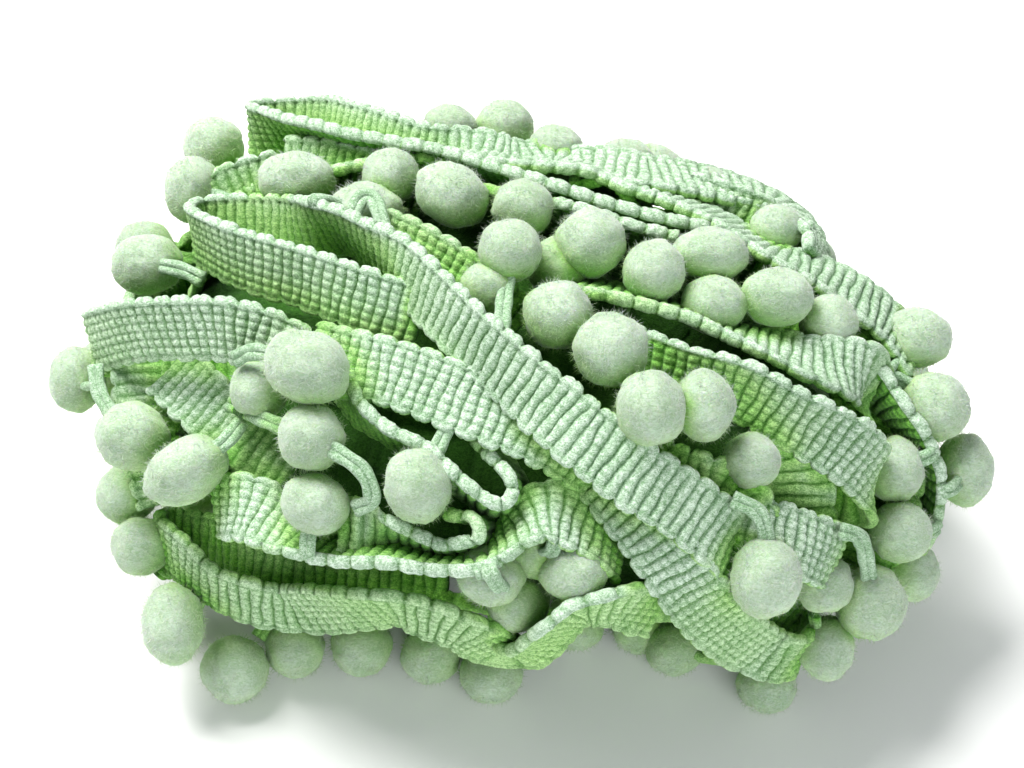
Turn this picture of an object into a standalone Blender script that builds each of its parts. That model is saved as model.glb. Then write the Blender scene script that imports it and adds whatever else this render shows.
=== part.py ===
"""Pompom fringe trim, wound into a loose hank that lies on a flat surface.

The trim is a knitted tape, 12.6 mm wide, with pompoms on short cord stems along one edge.
It is wound in long flattened loops, so that the hank is about 180 mm long, with hairpin
bends at both ends. The tape's turns are one solid. Each run's pompoms are another, with
their stems rooted in the narrow strip of tape edge that carries them.

The front of the hank is laid out as it is seen from a viewing place 50 degrees above the
surface: across and up are millimetres in that view, at the distance of the hank's middle,
and lift is the height above the wound form's rounded surface, toward the viewer.
"""
import math
from collections import namedtuple

import bmesh
import bpy
import numpy as np
from mathutils import Matrix, Vector

MM = 0.001

# Driving sizes, in millimetres and degrees.
TAPE_WIDE = 12.6
TAPE_THICK = 2.0
STRIP_WIDE = 1.6
STRIP_PARTING = 0.35
CLEARANCE = 0.3
STEM_THICK = 2.0
RUN_STEP = 7.5
BACK_RUN_STEP = 13.0
BALL_SIDES = 6
BALL_RINGS = 4
CORE_SIDES = 20
CORE_RINGS = 12
CURVE_SAMPLES = 12
VIEW_HEIGHT = math.radians(50)
VIEW_DISTANCE = 420.0
HANK_MIDDLE = np.array([0.65, -1.3, 37.0])
FORM_HALF = np.array([84.0, 57.0, 37.0])
FORM_YAW = math.radians(-14)
BACK_HALF = np.array([75.0, 45.0])
CORE_HALF = np.array([70.0, 42.0, 33.0])
CORE_MIDDLE = np.array([0.65, 0.7, 31.5])

# The view's depth past the form's outline flattens off by this share of its squared ray.
OUTLINE_SOFTNESS = 0.02
# The narrowest ring of the form that a back run follows, as a share of its widest, squared.
TOP_RING = 0.12
# How far along its span of strip a stem's root keeps from both ends.
ROOT_INSET = 0.05

# How the Booleans' seams are thinned: how far a face may move, in millimetres, how many
# rounds, the least cosine between a face's normals before and after, and the cosine that
# says two faces fold onto each other.
SEAM_TOLERANCE = 0.08
THINNING_ROUNDS = 6
LEAST_AGREEMENT = 0.5
FOLDED = -0.9

RIGHT = np.array([1.0, 0.0, 0.0])
UPWARD = np.array([0.0, math.sin(VIEW_HEIGHT), math.cos(VIEW_HEIGHT)])
TOWARD = np.array([0.0, -math.cos(VIEW_HEIGHT), math.sin(VIEW_HEIGHT)])
SKYWARD = np.array([0.0, 0.0, 1.0])

# A bend or a straight of a tape run that the view shows. turn leans the tape's width from
# the view's upright, counter-clockwise, and lean brings its upper edge toward the viewer.
Station = namedtuple("Station", "across up lift turn lean")

# Columns: across, up, lift, turn, lean.
SEEN_RUNS = {
    "top_loop": (
        (36, 28, -6, -5, 78), (24, 31, -5, -12, 80), (7, 36, -4, -15, 80),
        (-12.5, 42.2, -4, -12, 82), (-21, 43.8, -4, -5, 82), (-29.5, 45.2, -4, -8, 82),
        (-38.5, 47, -3.5, -12, 76), (-45, 47.5, -3, -8, 52), (-48.5, 47.5, -6, -2, 25),
        (-46, 48.2, -10, 0, 8), (-38, 48.8, -10.2, -3, 5), (-29.5, 47.2, -10, -8, 8),
        (-17.5, 43.4, -10, -10, 8), (-7.9, 42.6, -9.5, -13, -20), (-0.4, 41.8, -9, -15, -42),
        (7, 42.4, -8.5, -16, -62), (13.1, 41.2, -8, -18, -72), (22.1, 37.5, -7, -22, -76),
        (29.1, 35.1, -6.5, -24, -76), (39, 30.6, -5, -28, -74), (49, 24.6, -3, -30, -70),
        (57, 21.3, -1, -30, -60), (65, 16.5, 0, -32, -50), (71, 11.5, -1, -38, -50),
        (76, 4, -4, -42, -50)),
    "back_right": (
        (11, 40, -9, 0, -45), (18, 40.3, -6, -3, -52), (26, 39.4, -4, -5, -56),
        (36, 38, -4, -8, -57), (46, 35.4, -3, -18, -64), (52.5, 32, -2, -35, -72),
        (56.5, 27, -2, -60, -76), (58, 22, -4, -80, -72)),
    "under_top": (
        (-16, 36.5, -9, -15, 70), (0, 33.3, -7, -12, 70), (10, 31.3, -7, -20, 70),
        (21, 27.8, -7, -20, 70), (30, 25.5, -8, -10, 70)),
    "main_loop": (
        (-17, 12.5, -2, -10, 10), (-26, 15.3, 0, -10, 15), (-33.5, 17.8, 1, -8, 20),
        (-40, 20, 1.5, -6, 25), (-47, 22.2, 2, -4, 25), (-53.5, 24.6, 1.5, 0, 30),
        (-57.5, 27, -1, 4, 35), (-59.2, 28.6, -5, 5, 30), (-57, 29.4, -10, 3, 12),
        (-50, 29.6, -12, 0, 5), (-43, 29.6, -10, -2, 10), (-38, 29.4, -6, -8, 40),
        (-32.5, 28.9, -2, -20, 66), (-26.2, 25.3, 1, -33, 64), (-20.8, 21.6, 3.5, -42, 50),
        (-14.3, 15.4, 5.5, -43, 42), (-8.2, 9.2, 6, -42, 38), (-1.9, 3.8, 6, -40, 32),
        (3.6, -1.2, 6, -42, 24), (8.4, -5.4, 6, -43, 10), (12.6, -9.4, 6, -42, 5),
        (17.8, -13, 5.5, -38, 0), (22.7, -16.8, 5, -36, 0), (28, -20.3, 4, -40, -5),
        (35.5, -25.7, 2.5, -42, -12), (39.6, -29.8, 0, -42, -30), (43, -35, -4, -45, -45)),
    "behind_main": (
        (-37, 5.5, -5, -3, 0), (-30, 3.8, -1.5, -8, 0), (-22, 2.2, -0.5, -14, 0),
        (-14, -0.8, 0, -20, 0), (-7, -3.8, 0, -22, 0), (0, -6.5, 0, -24, 0),
        (8, -10.2, -1, -26, 0), (16, -15, -5, -30, 0)),
    "inner_green": (
        (-28, 28, -8, -20, 10), (-20, 25, -5, -24, 10), (-12.5, 20.7, -5, -28, 10),
        (-6, 16.2, -5, -30, 10), (1, 10, -7, -30, 10)),
    "left_loop": (
        (-33, 0, -5, -30, 0), (-39, 4.4, -2, -20, 0), (-46, 8.2, 0.5, -8, 12),
        (-54, 10.4, 2, 0, 22), (-62.5, 10.4, 2, 2, 25), (-70, 10, 1.5, 6, 26),
        (-75.5, 8.8, -1, 12, 22), (-78.3, 7.8, -5.5, 12, 15), (-74.5, 7.3, -12, 6, 5),
        (-67, 5.8, -15, 2, 0), (-60.5, 5, -16, 0, 0), (-54, 6, -18, -5, 0),
        (-46, 8.5, -20, -8, 0)),
    "edge_run": (
        (-32.6, 1.5, -9, -30, 60), (-28.5, -5, -5, -32, 74), (-23, -9.3, -4, -28, 78),
        (-16.5, -12.6, -4, -32, 78), (-11.3, -17.5, -4, -42, 78), (-5.8, -22, -4, -35, 78),
        (-2, -23.4, -4.5, -15, 78), (0.6, -21.4, -5, 20, 76), (0.2, -17.5, -6, 60, 76),
        (-4, -12, -9, 70, 70)),
    "small_twist": (
        (-32, -27.4, -2, -8, -25), (-28.4, -27.3, -2, -10, 10), (-25, -27.6, -2.8, -14, 48),
        (-21.3, -28, -3.5, -18, 72), (-14, -30.8, -4, -22, 76), (-9, -30.6, -4, 10, 76),
        (-5.4, -29, -4.5, 45, 76), (-5.2, -26.4, -5, 80, 76), (-9, -24.5, -8, 95, 72)),
    "front_swag": (
        (28, -42, -6, -15, 35), (22.3, -41.2, -1, -8, 50), (17.5, -41.6, 1, 3, 60),
        (12.4, -42.6, 2, 20, 66), (8, -45.6, 3, 35, 70), (3.4, -49.4, 3, 20, 70),
        (-1, -50, 3, -8, 66), (-6, -47.5, 3, -22, 56), (-11.3, -45.4, 3, -18, 55),
        (-17.8, -43.3, 2.5, -12, 55), (-23.5, -42, 2, -4, 64), (-31, -42, 2, 2, 56),
        (-39.8, -42.2, 2.5, 0, 46), (-49.2, -41, 2.5, -3, 44), (-56.5, -38, 2, -12, 50),
        (-61.5, -33.5, 0, -10, 42), (-65, -30.2, -4, 5, 28), (-63.5, -29.3, -9, 6, 12),
        (-57, -30, -12, 0, 5), (-48, -31.5, -14, -5, 5), (-38, -33.5, -16, -8, 5),
        (-26, -35, -17, -5, 5), (-12, -36.5, -18, 0, 5)),
    "lower_inner": (
        (-49, -22, -11, 8, 0), (-54.5, -22.3, -7, 12, 0), (-54.3, -23, -2.5, 6, -5),
        (-49.5, -23.5, -1.5, -8, -10), (-44, -26, -1.5, -18, -30), (-38, -29, -1.5, -10, -60),
        (-31, -31, -1.5, -3, -74), (-23, -31.8, -1.5, -3, -78), (-15, -33.2, -1.5, -6, -78),
        (-7.5, -33, -1.5, 5, -76), (-3, -31, -2, 20, -72), (0.2, -28, -2, 22, -60),
        (3.6, -25.2, -2, 10, -42), (8.1, -24.2, -2.5, 0, -27), (12.9, -26.1, -3.5, -12, -30),
        (17.4, -29, -5, -22, -40), (20.5, -31.5, -8, -28, -40)),
    "lower_right": (
        (12, -11, -7, -45, 0), (18, -17.5, -4, -50, 5), (24, -25, -1, -52, 10),
        (28.8, -32, 1, -50, 15), (34.2, -39.6, 2, -46, 20), (40, -45.6, 2.5, -42, 25),
        (46, -49.8, 2, -35, 32), (51, -51.6, -0.5, -26, 38), (54, -50.2, -5, -18, 38),
        (53, -46.6, -10, -18, 30), (47, -43, -13, -25, 20)),
    "right_lower_back": (
        (24, -14, -7, -10, 10), (31, -18.2, -4, -12, 10), (38.5, -20.2, -3, -18, 15),
        (43, -24, -3, -35, 20), (45.5, -30, -5, -55, 20)),
    "right_lower": (
        (40, -25.5, -4, -20, -10), (46, -27, -1, -18, -15), (52.7, -29, 0, -15, -20),
        (57.5, -31.2, -1, -20, -10), (60.5, -32.5, -5, -24, 0), (58.5, -31, -11, -18, 10),
        (51, -28, -14, 0, 20)),
    "right_loop": (
        (20, 5.6, -7, -12, 20), (31, 2.2, -3, -18, 25), (42.5, -0.8, 0, -20, 30),
        (51.2, -5.6, 1, -26, 30), (58, -8.8, 1.5, -27, 22), (63.6, -12.4, 1, -26, 10),
        (67.2, -17, -3, -15, 10), (65.6, -20.6, -9, -5, 10), (60, -20, -14, 0, 10),
        (52, -17, -17, 0, 10)),
    "right_fan": (
        (8, 19, -5, -20, -70), (14.5, 17.9, -4, -15, -76), (20.3, 16.7, -3, -14, -78),
        (32.5, 13.5, -3, -18, -78), (39, 10.7, -3, -20, -76), (44.5, 8.6, -2, -14, -70),
        (50.7, 6.4, -1, -5, -59), (56.7, 4.3, 0, 0, -45), (62.7, 3, 0, -10, -27),
        (66.5, 1.2, -3, -30, -12), (66, -3, -9, -25, -5), (60, -4.5, -14, -10, 0)),
    "right_rim": (
        (60, 6, -13, -30, 50), (66, 1.5, -9.5, -45, 66), (71, -5, -8, -52, 72),
        (75, -10.5, -8, -62, 75), (77.6, -16.5, -8, -82, 75), (77.6, -23, -8, -95, 75),
        (75, -29.5, -9, -115, 72), (70, -34, -13, -130, 60)),
    "inner_patch": (
        (52, -4, -12, 84, 0), (54, -12, -9, 86, 0), (54.8, -20, -9, 92, 0),
        (54, -29, -12, 96, 0)),
}

# The runs round the back, out of that view. bearing is in degrees round the hank from its
# right end toward the back, height is of the tape's middle above the surface it lies on.
BackStation = namedtuple("BackStation", "bearing height lift lean")

# Columns: bearing, height, lift, lean.
BACK_RUNS = {
    "back_top": (
        (40, 54, -9, 0), (58, 62, 0, 10), (88, 65, 1, 5), (118, 64, 1, 10), (142, 58, -2, 5),
        (156, 50, -11, 0)),
    "back_upper": (
        (14, 42, -11, 0), (30, 50, 0, 5), (58, 51, 2, 0), (90, 49, 1, 8), (120, 51, 2, 0),
        (146, 49, 0, 5), (164, 43, -11, 0)),
    "back_middle": (
        (2, 33, -12, 0), (18, 36, 1, 0), (48, 36, 2, 10), (78, 34, 2, 0), (108, 36, 2, 5),
        (140, 36, 1, 10), (164, 33, 1, 0), (182, 31, -12, 0)),
    "back_lower": (
        (-16, 21, -12, 0), (2, 21.5, 1, 0), (32, 20, 3, -8), (64, 22, 2, 0), (96, 20, 3, 5),
        (128, 22, 2, 0), (156, 20, 2, 0), (180, 22, 1, 0), (198, 20, -12, 0)),
    "base": (
        (-46, 8, -10, -10), (-24, 7.5, 1, -10), (10, 7.5, 1, -15), (50, 8, 2, -12),
        (90, 7.5, 1, -15), (130, 8, 2, -12), (170, 7.5, 1, -15), (204, 7.5, 1, -10),
        (224, 8, -10, -10)),
    "front_under": (
        (-166, 28, -8, 0), (-148, 27, -1, 10), (-122, 25, 0, 5), (-95, 26, 0, 10),
        (-66, 25, 0, 5), (-40, 27, 0, 8), (-18, 28, -8, 0)),
}

# A pompom: its middle and its half sizes as the view shows them at the hank's middle.
Pompom = namedtuple("Pompom", "across up lift wide tall turn")
ON_FLOOR = None

# Columns: across, up, lift, half wide, half tall, turn, for the pompoms of each run.
SEEN_POMPOMS = {
    "main_loop": (
        (-59.8, 36.4, -10, 5.8, 6.9, 0), (-68.5, 22.3, -6, 7.1, 6.2, 0),
        (-27.6, 31.5, -7, 8, 6.9, 0), (-0.4, 25, 6, 6.5, 6.4, 0), (47.5, -36.2, 6, 7.3, 8.2, 0)),
    "top_loop": (
        (-56, 44.5, -13.94, 6, 6, 0), (-40.3, 38.3, -5, 7.9, 5.8, 0), (-22.7, 39, -3, 5.8, 5.8, 0),
        (-11.3, 35.5, 1, 7.7, 6.3, -30), (2, 33, 0, 6.2, 6, 0), (14.6, 26.5, 2, 7.1, 7, 0),
        (8.3, 22, -4, 6, 6, 0), (26.6, 21.2, 2, 6.3, 6.4, 0), (37.1, 24.2, 2, 7.9, 5.6, 0)),
    "back_right": ((49.5, 29, -4, 5.5, 5.2, 0),),
    "back_top": (
        (-11.8, 47, -15, 5.8, 5.8, 0), (-1.3, 48, -16, 5.8, 5.8, 0), (8, 43.5, -14, 5.8, 5.8, 0),
        (21, 41.5, -14, 6, 5, 0)),
    "inner_green": ((-4.9, 18, 1, 5.4, 5.4, 0),),
    "left_loop": (
        (-81.835, 0.8, -10, 5.6, 6.6, 0), (-71.3, -9.8, 0, 7.5, 6.9, 0),
        (-61.3, -16.3, 2, 9, 6.4, 30),
        (-38.5, 3.2, 7, 9.2, 7.4, -25), (-47.3, -1, -4, 6, 6, 0)),
    "right_fan": (
        (8.6, 13, 2, 7.1, 7.1, 0), (18.6, 6.4, 6, 7.7, 7.7, 0), (37.7, 15, -2, 6.8, 5.8, 0),
        (49.7, 16.3, 3, 7.5, 5.9, 0), (59.5, 11.3, -1, 5.8, 5.8, 0), (75.6, 8.6, 0, 7.5, 6.2, 0),
        (79.4, -4.3, 0, 7.1, 7.1, 0)),
    "right_loop": (
        (25.9, -4.7, 8, 7.2, 7.7, 0), (36, -4, 6, 6.4, 7.3, 0), (44.8, -14.4, -1, 5.8, 5.8, 0)),
    "right_rim": (
        (84.8, -16, 0, 5.9, 7.4, 0), (71.9, -16, -8, 5.8, 6.6, 0), (72.8, -27.8, -2, 6.4, 6.2, 0),
        (74.6, -35.3, -8, 6, 6, 0)),
    "right_lower": (
        (67.4, -41, 2, 7.1, 7.5, 0), (58.9, -49.5, -3, 5.8, 6.6, 0), (58.5, -37.5, -5, 6, 6, 0)),
    "lower_right": ((47.8, -56.5, ON_FLOOR, 6, 5.6, 0), (30.4, -49.5, ON_FLOOR, 5.8, 5.6, 0)),
    "front_swag": (
        (-72.2, -20.8, -6, 6, 6, 0), (-69.6, -30.4, -4, 6, 6, 0), (-63.6, -45, -2, 6.4, 8.1, 0)),
    "front_under": (
        (-52, -53.5, ON_FLOOR, 6.8, 6.6, 0), (-40.7, -49.5, ON_FLOOR, 6, 6, 0),
        (-28.3, -49, ON_FLOOR, 6.2, 6, 0), (-15.2, -50.7, ON_FLOOR, 6, 6, 0),
        (-3.9, -54.4, ON_FLOOR, 6.4, 5.8, 0), (12, -44.5, ON_FLOOR, 6, 6, 0),
        (24, -45.5, ON_FLOOR, 5.8, 5.6, 0)),
    "small_twist": ((-37.7, -10, 3, 6.8, 6.8, 0),),
    "lower_inner": (
        (-37, -22.6, 2, 7.1, 6.2, -30), (-4, -36, -2, 7, 6.2, 0), (1.1, -41, -5, 6.2, 6, 0),
        (11.4, -35.3, -2, 6.8, 6.2, 0), (4.5, -31, -6, 6, 6, 0)),
    "behind_main": ((-17.6, -19, 1, 6.8, 7.7, 12),),
}

# Columns: first bearing, last bearing, count, height and lift of the pompoms' middles.
BACK_POMPOMS = {
    "back_top": (42, 56, 2, 53, 5.5),
    "back_upper": (26, 156, 7, 41, 6.5),
    "back_middle": (6, 172, 8, 27.5, 7.5),
    "back_lower": (-6, 188, 9, 13.5, 9.5),
    "base": (-32, 212, 8, 6.3, 11.5),
}
BACK_POMPOM_HALF = 6.3

# The fringed edge of each run: 1 is the upper one, -1 the lower.
FRINGED_EDGE = {
    "main_loop": 1, "top_loop": -1, "back_right": -1, "inner_green": -1, "left_loop": -1,
    "right_fan": 1, "right_loop": -1, "right_rim": 1, "right_lower": -1, "lower_right": -1,
    "front_swag": -1, "small_twist": 1, "lower_inner": -1, "behind_main": -1,
    "back_top": -1, "back_upper": -1, "back_middle": -1, "back_lower": -1, "base": -1,
    "front_under": -1,
}

TRIM_COLOUR = (0.52, 0.76, 0.46, 1.0)
POMPOM_COLOUR = (0.58, 0.80, 0.52, 1.0)


def seen(across, up, out):
    """The place that the view shows at across and up, out toward the viewer."""
    nearer = 1.0 - out / VIEW_DISTANCE
    return HANK_MIDDLE + (RIGHT * across + UPWARD * up) * nearer + TOWARD * out


def in_form(step):
    """A step from the hank's middle, measured in the wound form's half sizes."""
    c = math.cos(FORM_YAW)
    s = math.sin(FORM_YAW)
    along = c * step[0] + s * step[1]
    back = c * step[1] - s * step[0]
    return np.array([along, back, step[2]]) / FORM_HALF


def form_depth(across, up):
    """How far toward the viewer the wound form's surface lies, soft past its outline."""
    base = in_form(RIGHT * across + UPWARD * up)
    ray = in_form(TOWARD)
    square = ray @ ray
    half_sum = base @ ray
    inside = half_sum ** 2 - square * (base @ base - 1.0)
    soft = OUTLINE_SOFTNESS * square
    reach = math.sqrt((inside + math.hypot(inside, soft)) / 2.0)
    return (reach - half_sum) / square


def around(bearing, height, lift):
    """A place on the wound form at a bearing and a height, lifted outward."""
    angle = math.radians(bearing)
    level = (height - HANK_MIDDLE[2]) / FORM_HALF[2]
    ring = math.sqrt(max(1.0 - level ** 2, TOP_RING))
    reach = 1.0 / math.hypot(math.cos(angle - FORM_YAW) / BACK_HALF[0],
                             math.sin(angle - FORM_YAW) / BACK_HALF[1])
    outward = np.array([math.cos(angle), math.sin(angle), 0.0])
    middle = HANK_MIDDLE * np.array([1.0, 1.0, 0.0])
    return middle + outward * (ring * reach + lift) + SKYWARD * height


def seen_width(turn, lean):
    """The tape's width direction at a seen station."""
    turn = math.radians(turn)
    lean = math.radians(lean)
    flat = UPWARD * math.cos(turn) - RIGHT * math.sin(turn)
    return flat * math.cos(lean) + TOWARD * math.sin(lean)


def back_width(bearing, height, lean):
    """The tape's width direction at the back: up the form's slope, tipped outward by lean."""
    slope = around(bearing, height + 4.0, 0.0) - around(bearing, height - 4.0, 0.0)
    slope /= np.linalg.norm(slope)
    angle = math.radians(bearing)
    outward = np.array([math.cos(angle), math.sin(angle), 0.0])
    return slope + outward * math.tan(math.radians(lean))


def smooth_rows(rows, samples):
    """A smooth curve through the rows, with some samples to each span."""
    rows = np.array(rows)
    first = 2 * rows[0] - rows[1]
    last = 2 * rows[-1] - rows[-2]
    padded = np.vstack([first, rows, last])
    curve = []
    for index in range(len(rows) - 1):
        before, start, end, after = padded[index:index + 4]
        for sample in range(samples):
            t = sample / samples
            bend = 2 * before - 5 * start + 4 * end - after
            twist = 3 * start - before - 3 * end + after
            curve.append(start + 0.5 * ((end - before) * t + bend * t ** 2 + twist * t ** 3))
    curve.append(rows[-1])
    return np.array(curve)


def run_frames(centres, widths, step):
    """Evenly spaced middles of a run, with the directions of its width there."""
    curve = smooth_rows(np.hstack([centres, widths]), CURVE_SAMPLES)
    gaps = np.linalg.norm(np.diff(curve[:, :3], axis=0), axis=1)
    travelled = np.concatenate([[0.0], np.cumsum(gaps)])
    marks = np.linspace(0.0, travelled[-1], max(round(travelled[-1] / step), 2) + 1)
    even = np.stack([np.interp(marks, travelled, column) for column in curve.T], axis=1)
    line = even[:, :3]
    wide = even[:, 3:]
    tangent = np.gradient(line, axis=0)
    tangent /= np.linalg.norm(tangent, axis=1)[:, None]
    wide = wide - tangent * np.sum(wide * tangent, axis=1)[:, None]
    wide /= np.linalg.norm(wide, axis=1)[:, None]
    return line, wide


def all_runs():
    """The middle line and width directions of each tape run."""
    runs = {}
    for name, rows in SEEN_RUNS.items():
        stations = [Station(*row) for row in rows]
        centres = [seen(s.across, s.up, form_depth(s.across, s.up) + s.lift) for s in stations]
        widths = [seen_width(s.turn, s.lean) for s in stations]
        runs[name] = run_frames(centres, widths, RUN_STEP)
    for name, rows in BACK_RUNS.items():
        stations = [BackStation(*row) for row in rows]
        centres = [around(s.bearing, s.height, s.lift) for s in stations]
        widths = [back_width(s.bearing, s.height, s.lean) for s in stations]
        runs[name] = run_frames(centres, widths, BACK_RUN_STEP)
    return runs


def seen_ball(pompom):
    """A seen pompom's middle and its three half axes, in millimetres."""
    if pompom.lift is ON_FLOOR:
        depth_of_middle = pompom.tall - HANK_MIDDLE[2] - pompom.up * UPWARD[2]
        out = depth_of_middle / (TOWARD[2] - pompom.up * UPWARD[2] / VIEW_DISTANCE)
        side, upright, deep = RIGHT, SKYWARD, np.array([0.0, 1.0, 0.0])
    else:
        out = form_depth(pompom.across, pompom.up) + pompom.lift
        turn = math.radians(pompom.turn)
        side = RIGHT * math.cos(turn) + UPWARD * math.sin(turn)
        upright = UPWARD * math.cos(turn) - RIGHT * math.sin(turn)
        deep = -TOWARD
    nearer = 1.0 - out / VIEW_DISTANCE
    wide = pompom.wide * nearer
    tall = pompom.tall * nearer
    middle = seen(pompom.across, pompom.up, out)
    if pompom.lift is ON_FLOOR:
        middle[2] = tall
    return middle, side * wide, deep * (wide + tall) / 2, upright * tall


def back_balls(first, last, count, height, lift):
    """The pompoms of a back run, a little uneven in height and lift."""
    balls = []
    for index in range(count):
        bearing = first + (last - first) * index / (count - 1)
        if height > BACK_POMPOM_HALF:
            level = height + 1.5 * math.sin(2.4 * index + height)
        else:
            level = BACK_POMPOM_HALF
        middle = around(bearing, level, lift + math.sin(1.7 * index + lift))
        half = BACK_POMPOM_HALF
        balls.append((middle, RIGHT * half, np.array([0.0, half, 0.0]), SKYWARD * half))
    return balls


def all_balls():
    """The pompoms of each run that has any."""
    balls = {}
    for name, rows in SEEN_POMPOMS.items():
        balls[name] = [seen_ball(Pompom(*row)) for row in rows]
    for name, row in BACK_POMPOMS.items():
        balls.setdefault(name, []).extend(back_balls(*row))
    return balls


def add_band(mesh, line, wide, low, high, thick, grown=0.0):
    """A flat band along a line, from low to high across its width, as a closed loft."""
    tangent = np.gradient(line, axis=0)
    tangent /= np.linalg.norm(tangent, axis=1)[:, None]
    line = line.copy()
    line[0] -= tangent[0] * grown
    line[-1] += tangent[-1] * grown
    face = np.cross(tangent, wide)
    face *= (thick / 2 + grown) / np.linalg.norm(face, axis=1)[:, None]
    sections = []
    for middle, across, out in zip(line, wide, face):
        near = middle + across * (low - grown)
        far = middle + across * (high + grown)
        corners = (near - out, far - out, far + out, near + out)
        sections.append([mesh.verts.new(Vector(corner) * MM) for corner in corners])
    for here, there in zip(sections, sections[1:]):
        for corner in range(4):
            beside = (corner + 1) % 4
            mesh.faces.new((here[corner], here[beside], there[beside], there[corner]))
    mesh.faces.new(sections[0][::-1])
    mesh.faces.new(sections[-1])


def add_ball(mesh, middle, side, deep, upright, grown=0.0):
    """A pompom's rounded form on its three half axes."""
    axes = [Vector(axis) * (1.0 + grown / np.linalg.norm(axis)) * MM
            for axis in (side, deep, upright)]
    place = Matrix.Translation(Vector(middle) * MM) @ Matrix(axes).transposed().to_4x4()
    bmesh.ops.create_uvsphere(mesh, u_segments=BALL_SIDES, v_segments=BALL_RINGS, radius=1.0,
                              matrix=place)


def add_stem(mesh, root, middle, grown=0.0):
    """A short square stem from its root on the strip into the pompom."""
    side = np.cross(middle - root, middle - HANK_MIDDLE)
    side /= np.linalg.norm(side)
    half = STEM_THICK / 2
    add_band(mesh, np.array([root, middle]), np.array([side] * 2), -half, half, STEM_THICK, grown)


def edge_line(frames, edge):
    """The line down the middle of a run's fringed strip."""
    line, wide = frames
    return line + wide * edge * (TAPE_WIDE - STRIP_WIDE) / 2


def nearest_on(line, place):
    """The nearest point to a place on a line, and the index of its span."""
    best = None
    for index, (start, end) in enumerate(zip(line, line[1:])):
        span = end - start
        t = min(max((place - start) @ span / (span @ span), ROOT_INSET), 1.0 - ROOT_INSET)
        point = start + span * t
        distance = np.linalg.norm(place - point)
        if best is None or distance < best[0]:
            best = (distance, index, point)
    return best[1:]


def fringe_pieces(frames, edge, balls, grown=0.0):
    """The strip, the stems and the balls of one run's fringe, each a closed mesh."""
    wide = frames[1]
    strip = edge_line(frames, edge)
    roots = [nearest_on(strip, ball[0]) for ball in balls]
    first = max(min(index for index, _ in roots) - 1, 0)
    last = min(max(index for index, _ in roots) + 3, len(strip))
    pieces = []
    mesh = bmesh.new()
    add_band(mesh, strip[first:last], wide[first:last], -STRIP_WIDE / 2, STRIP_WIDE / 2,
             TAPE_THICK, grown)
    pieces.append(mesh)
    for (_, root), (middle, side, deep, upright) in zip(roots, balls):
        mesh = bmesh.new()
        add_stem(mesh, root, middle, grown)
        pieces.append(mesh)
        mesh = bmesh.new()
        add_ball(mesh, middle, side, deep, upright, grown)
        pieces.append(mesh)
    return pieces


def new_object(name, mesh, collection):
    """An object from a finished bmesh, which is freed."""
    bmesh.ops.recalc_face_normals(mesh, faces=mesh.faces)
    data = bpy.data.meshes.new(name)
    mesh.to_mesh(data)
    mesh.free()
    obj = bpy.data.objects.new(name, data)
    collection.objects.link(obj)
    return obj


def add_boolean(obj, operation, pieces):
    """A Boolean with a collection of closed pieces, which may pass through each other.

    The exact solver leaves open edges where this many bands and balls cross.
    """
    group = bpy.data.collections.new(obj.name + "_" + operation.lower())
    cutters.children.link(group)
    for piece in pieces:
        cutter = new_object(group.name, piece, group)
        cutter.hide_render = True
        cutter.display_type = "WIRE"
    modifier = obj.modifiers.new(operation.title(), "BOOLEAN")
    modifier.operation = operation
    modifier.operand_type = "COLLECTION"
    modifier.collection = group
    modifier.solver = "MANIFOLD"


def moved_normals(vert, target):
    """The normals of the faces around a vertex once it has moved onto its neighbour."""
    normals = {}
    for face in vert.link_faces:
        if target not in face.verts:
            corners = [target.co if corner is vert else corner.co for corner in face.verts]
            normals[face] = (corners[1] - corners[0]).cross(corners[2] - corners[0])
            normals[face].normalize()
    return normals


def can_merge(vert, target):
    """Whether moving a vertex onto its neighbour keeps the surface whole and in place."""
    around_vert = {edge.other_vert(vert) for edge in vert.link_edges}
    around_target = {edge.other_vert(target) for edge in target.link_edges}
    if len(around_vert & around_target) != 2:
        return False
    step = target.co - vert.co
    if any(abs(step.dot(face.normal)) > SEAM_TOLERANCE * MM for face in vert.link_faces):
        return False
    normals = moved_normals(vert, target)
    if any(normal.dot(face.normal) < LEAST_AGREEMENT for face, normal in normals.items()):
        return False
    after = [normals.get(face, face.normal)
             for face in {*vert.link_faces, *target.link_faces, *outer_faces(vert)}
             if face in normals or vert not in face.verts]
    return all(one.dot(other) > FOLDED for one in normals.values() for other in after)


def outer_faces(vert):
    """The faces across the outer edges of the ring of faces around a vertex."""
    outer = set()
    for face in vert.link_faces:
        for edge in face.edges:
            if vert not in edge.verts:
                outer.update(edge.link_faces)
    return outer


def thin_out(mesh):
    """Merges the slivers and the flat fans that the Booleans leave along their seams."""
    for _ in range(THINNING_ROUNDS):
        mesh.normal_update()
        moves = {}
        busy = set()
        for edge in sorted(mesh.edges, key=lambda edge: edge.calc_length()):
            for vert in edge.verts:
                target = edge.other_vert(vert)
                nearby = {link.other_vert(vert) for link in vert.link_edges}
                nearby |= {link.other_vert(target) for link in target.link_edges}
                if nearby & busy or not can_merge(vert, target):
                    continue
                moves[vert] = target
                busy |= nearby
                break
        if not moves:
            break
        bmesh.ops.weld_verts(mesh, targetmap=moves)


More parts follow.
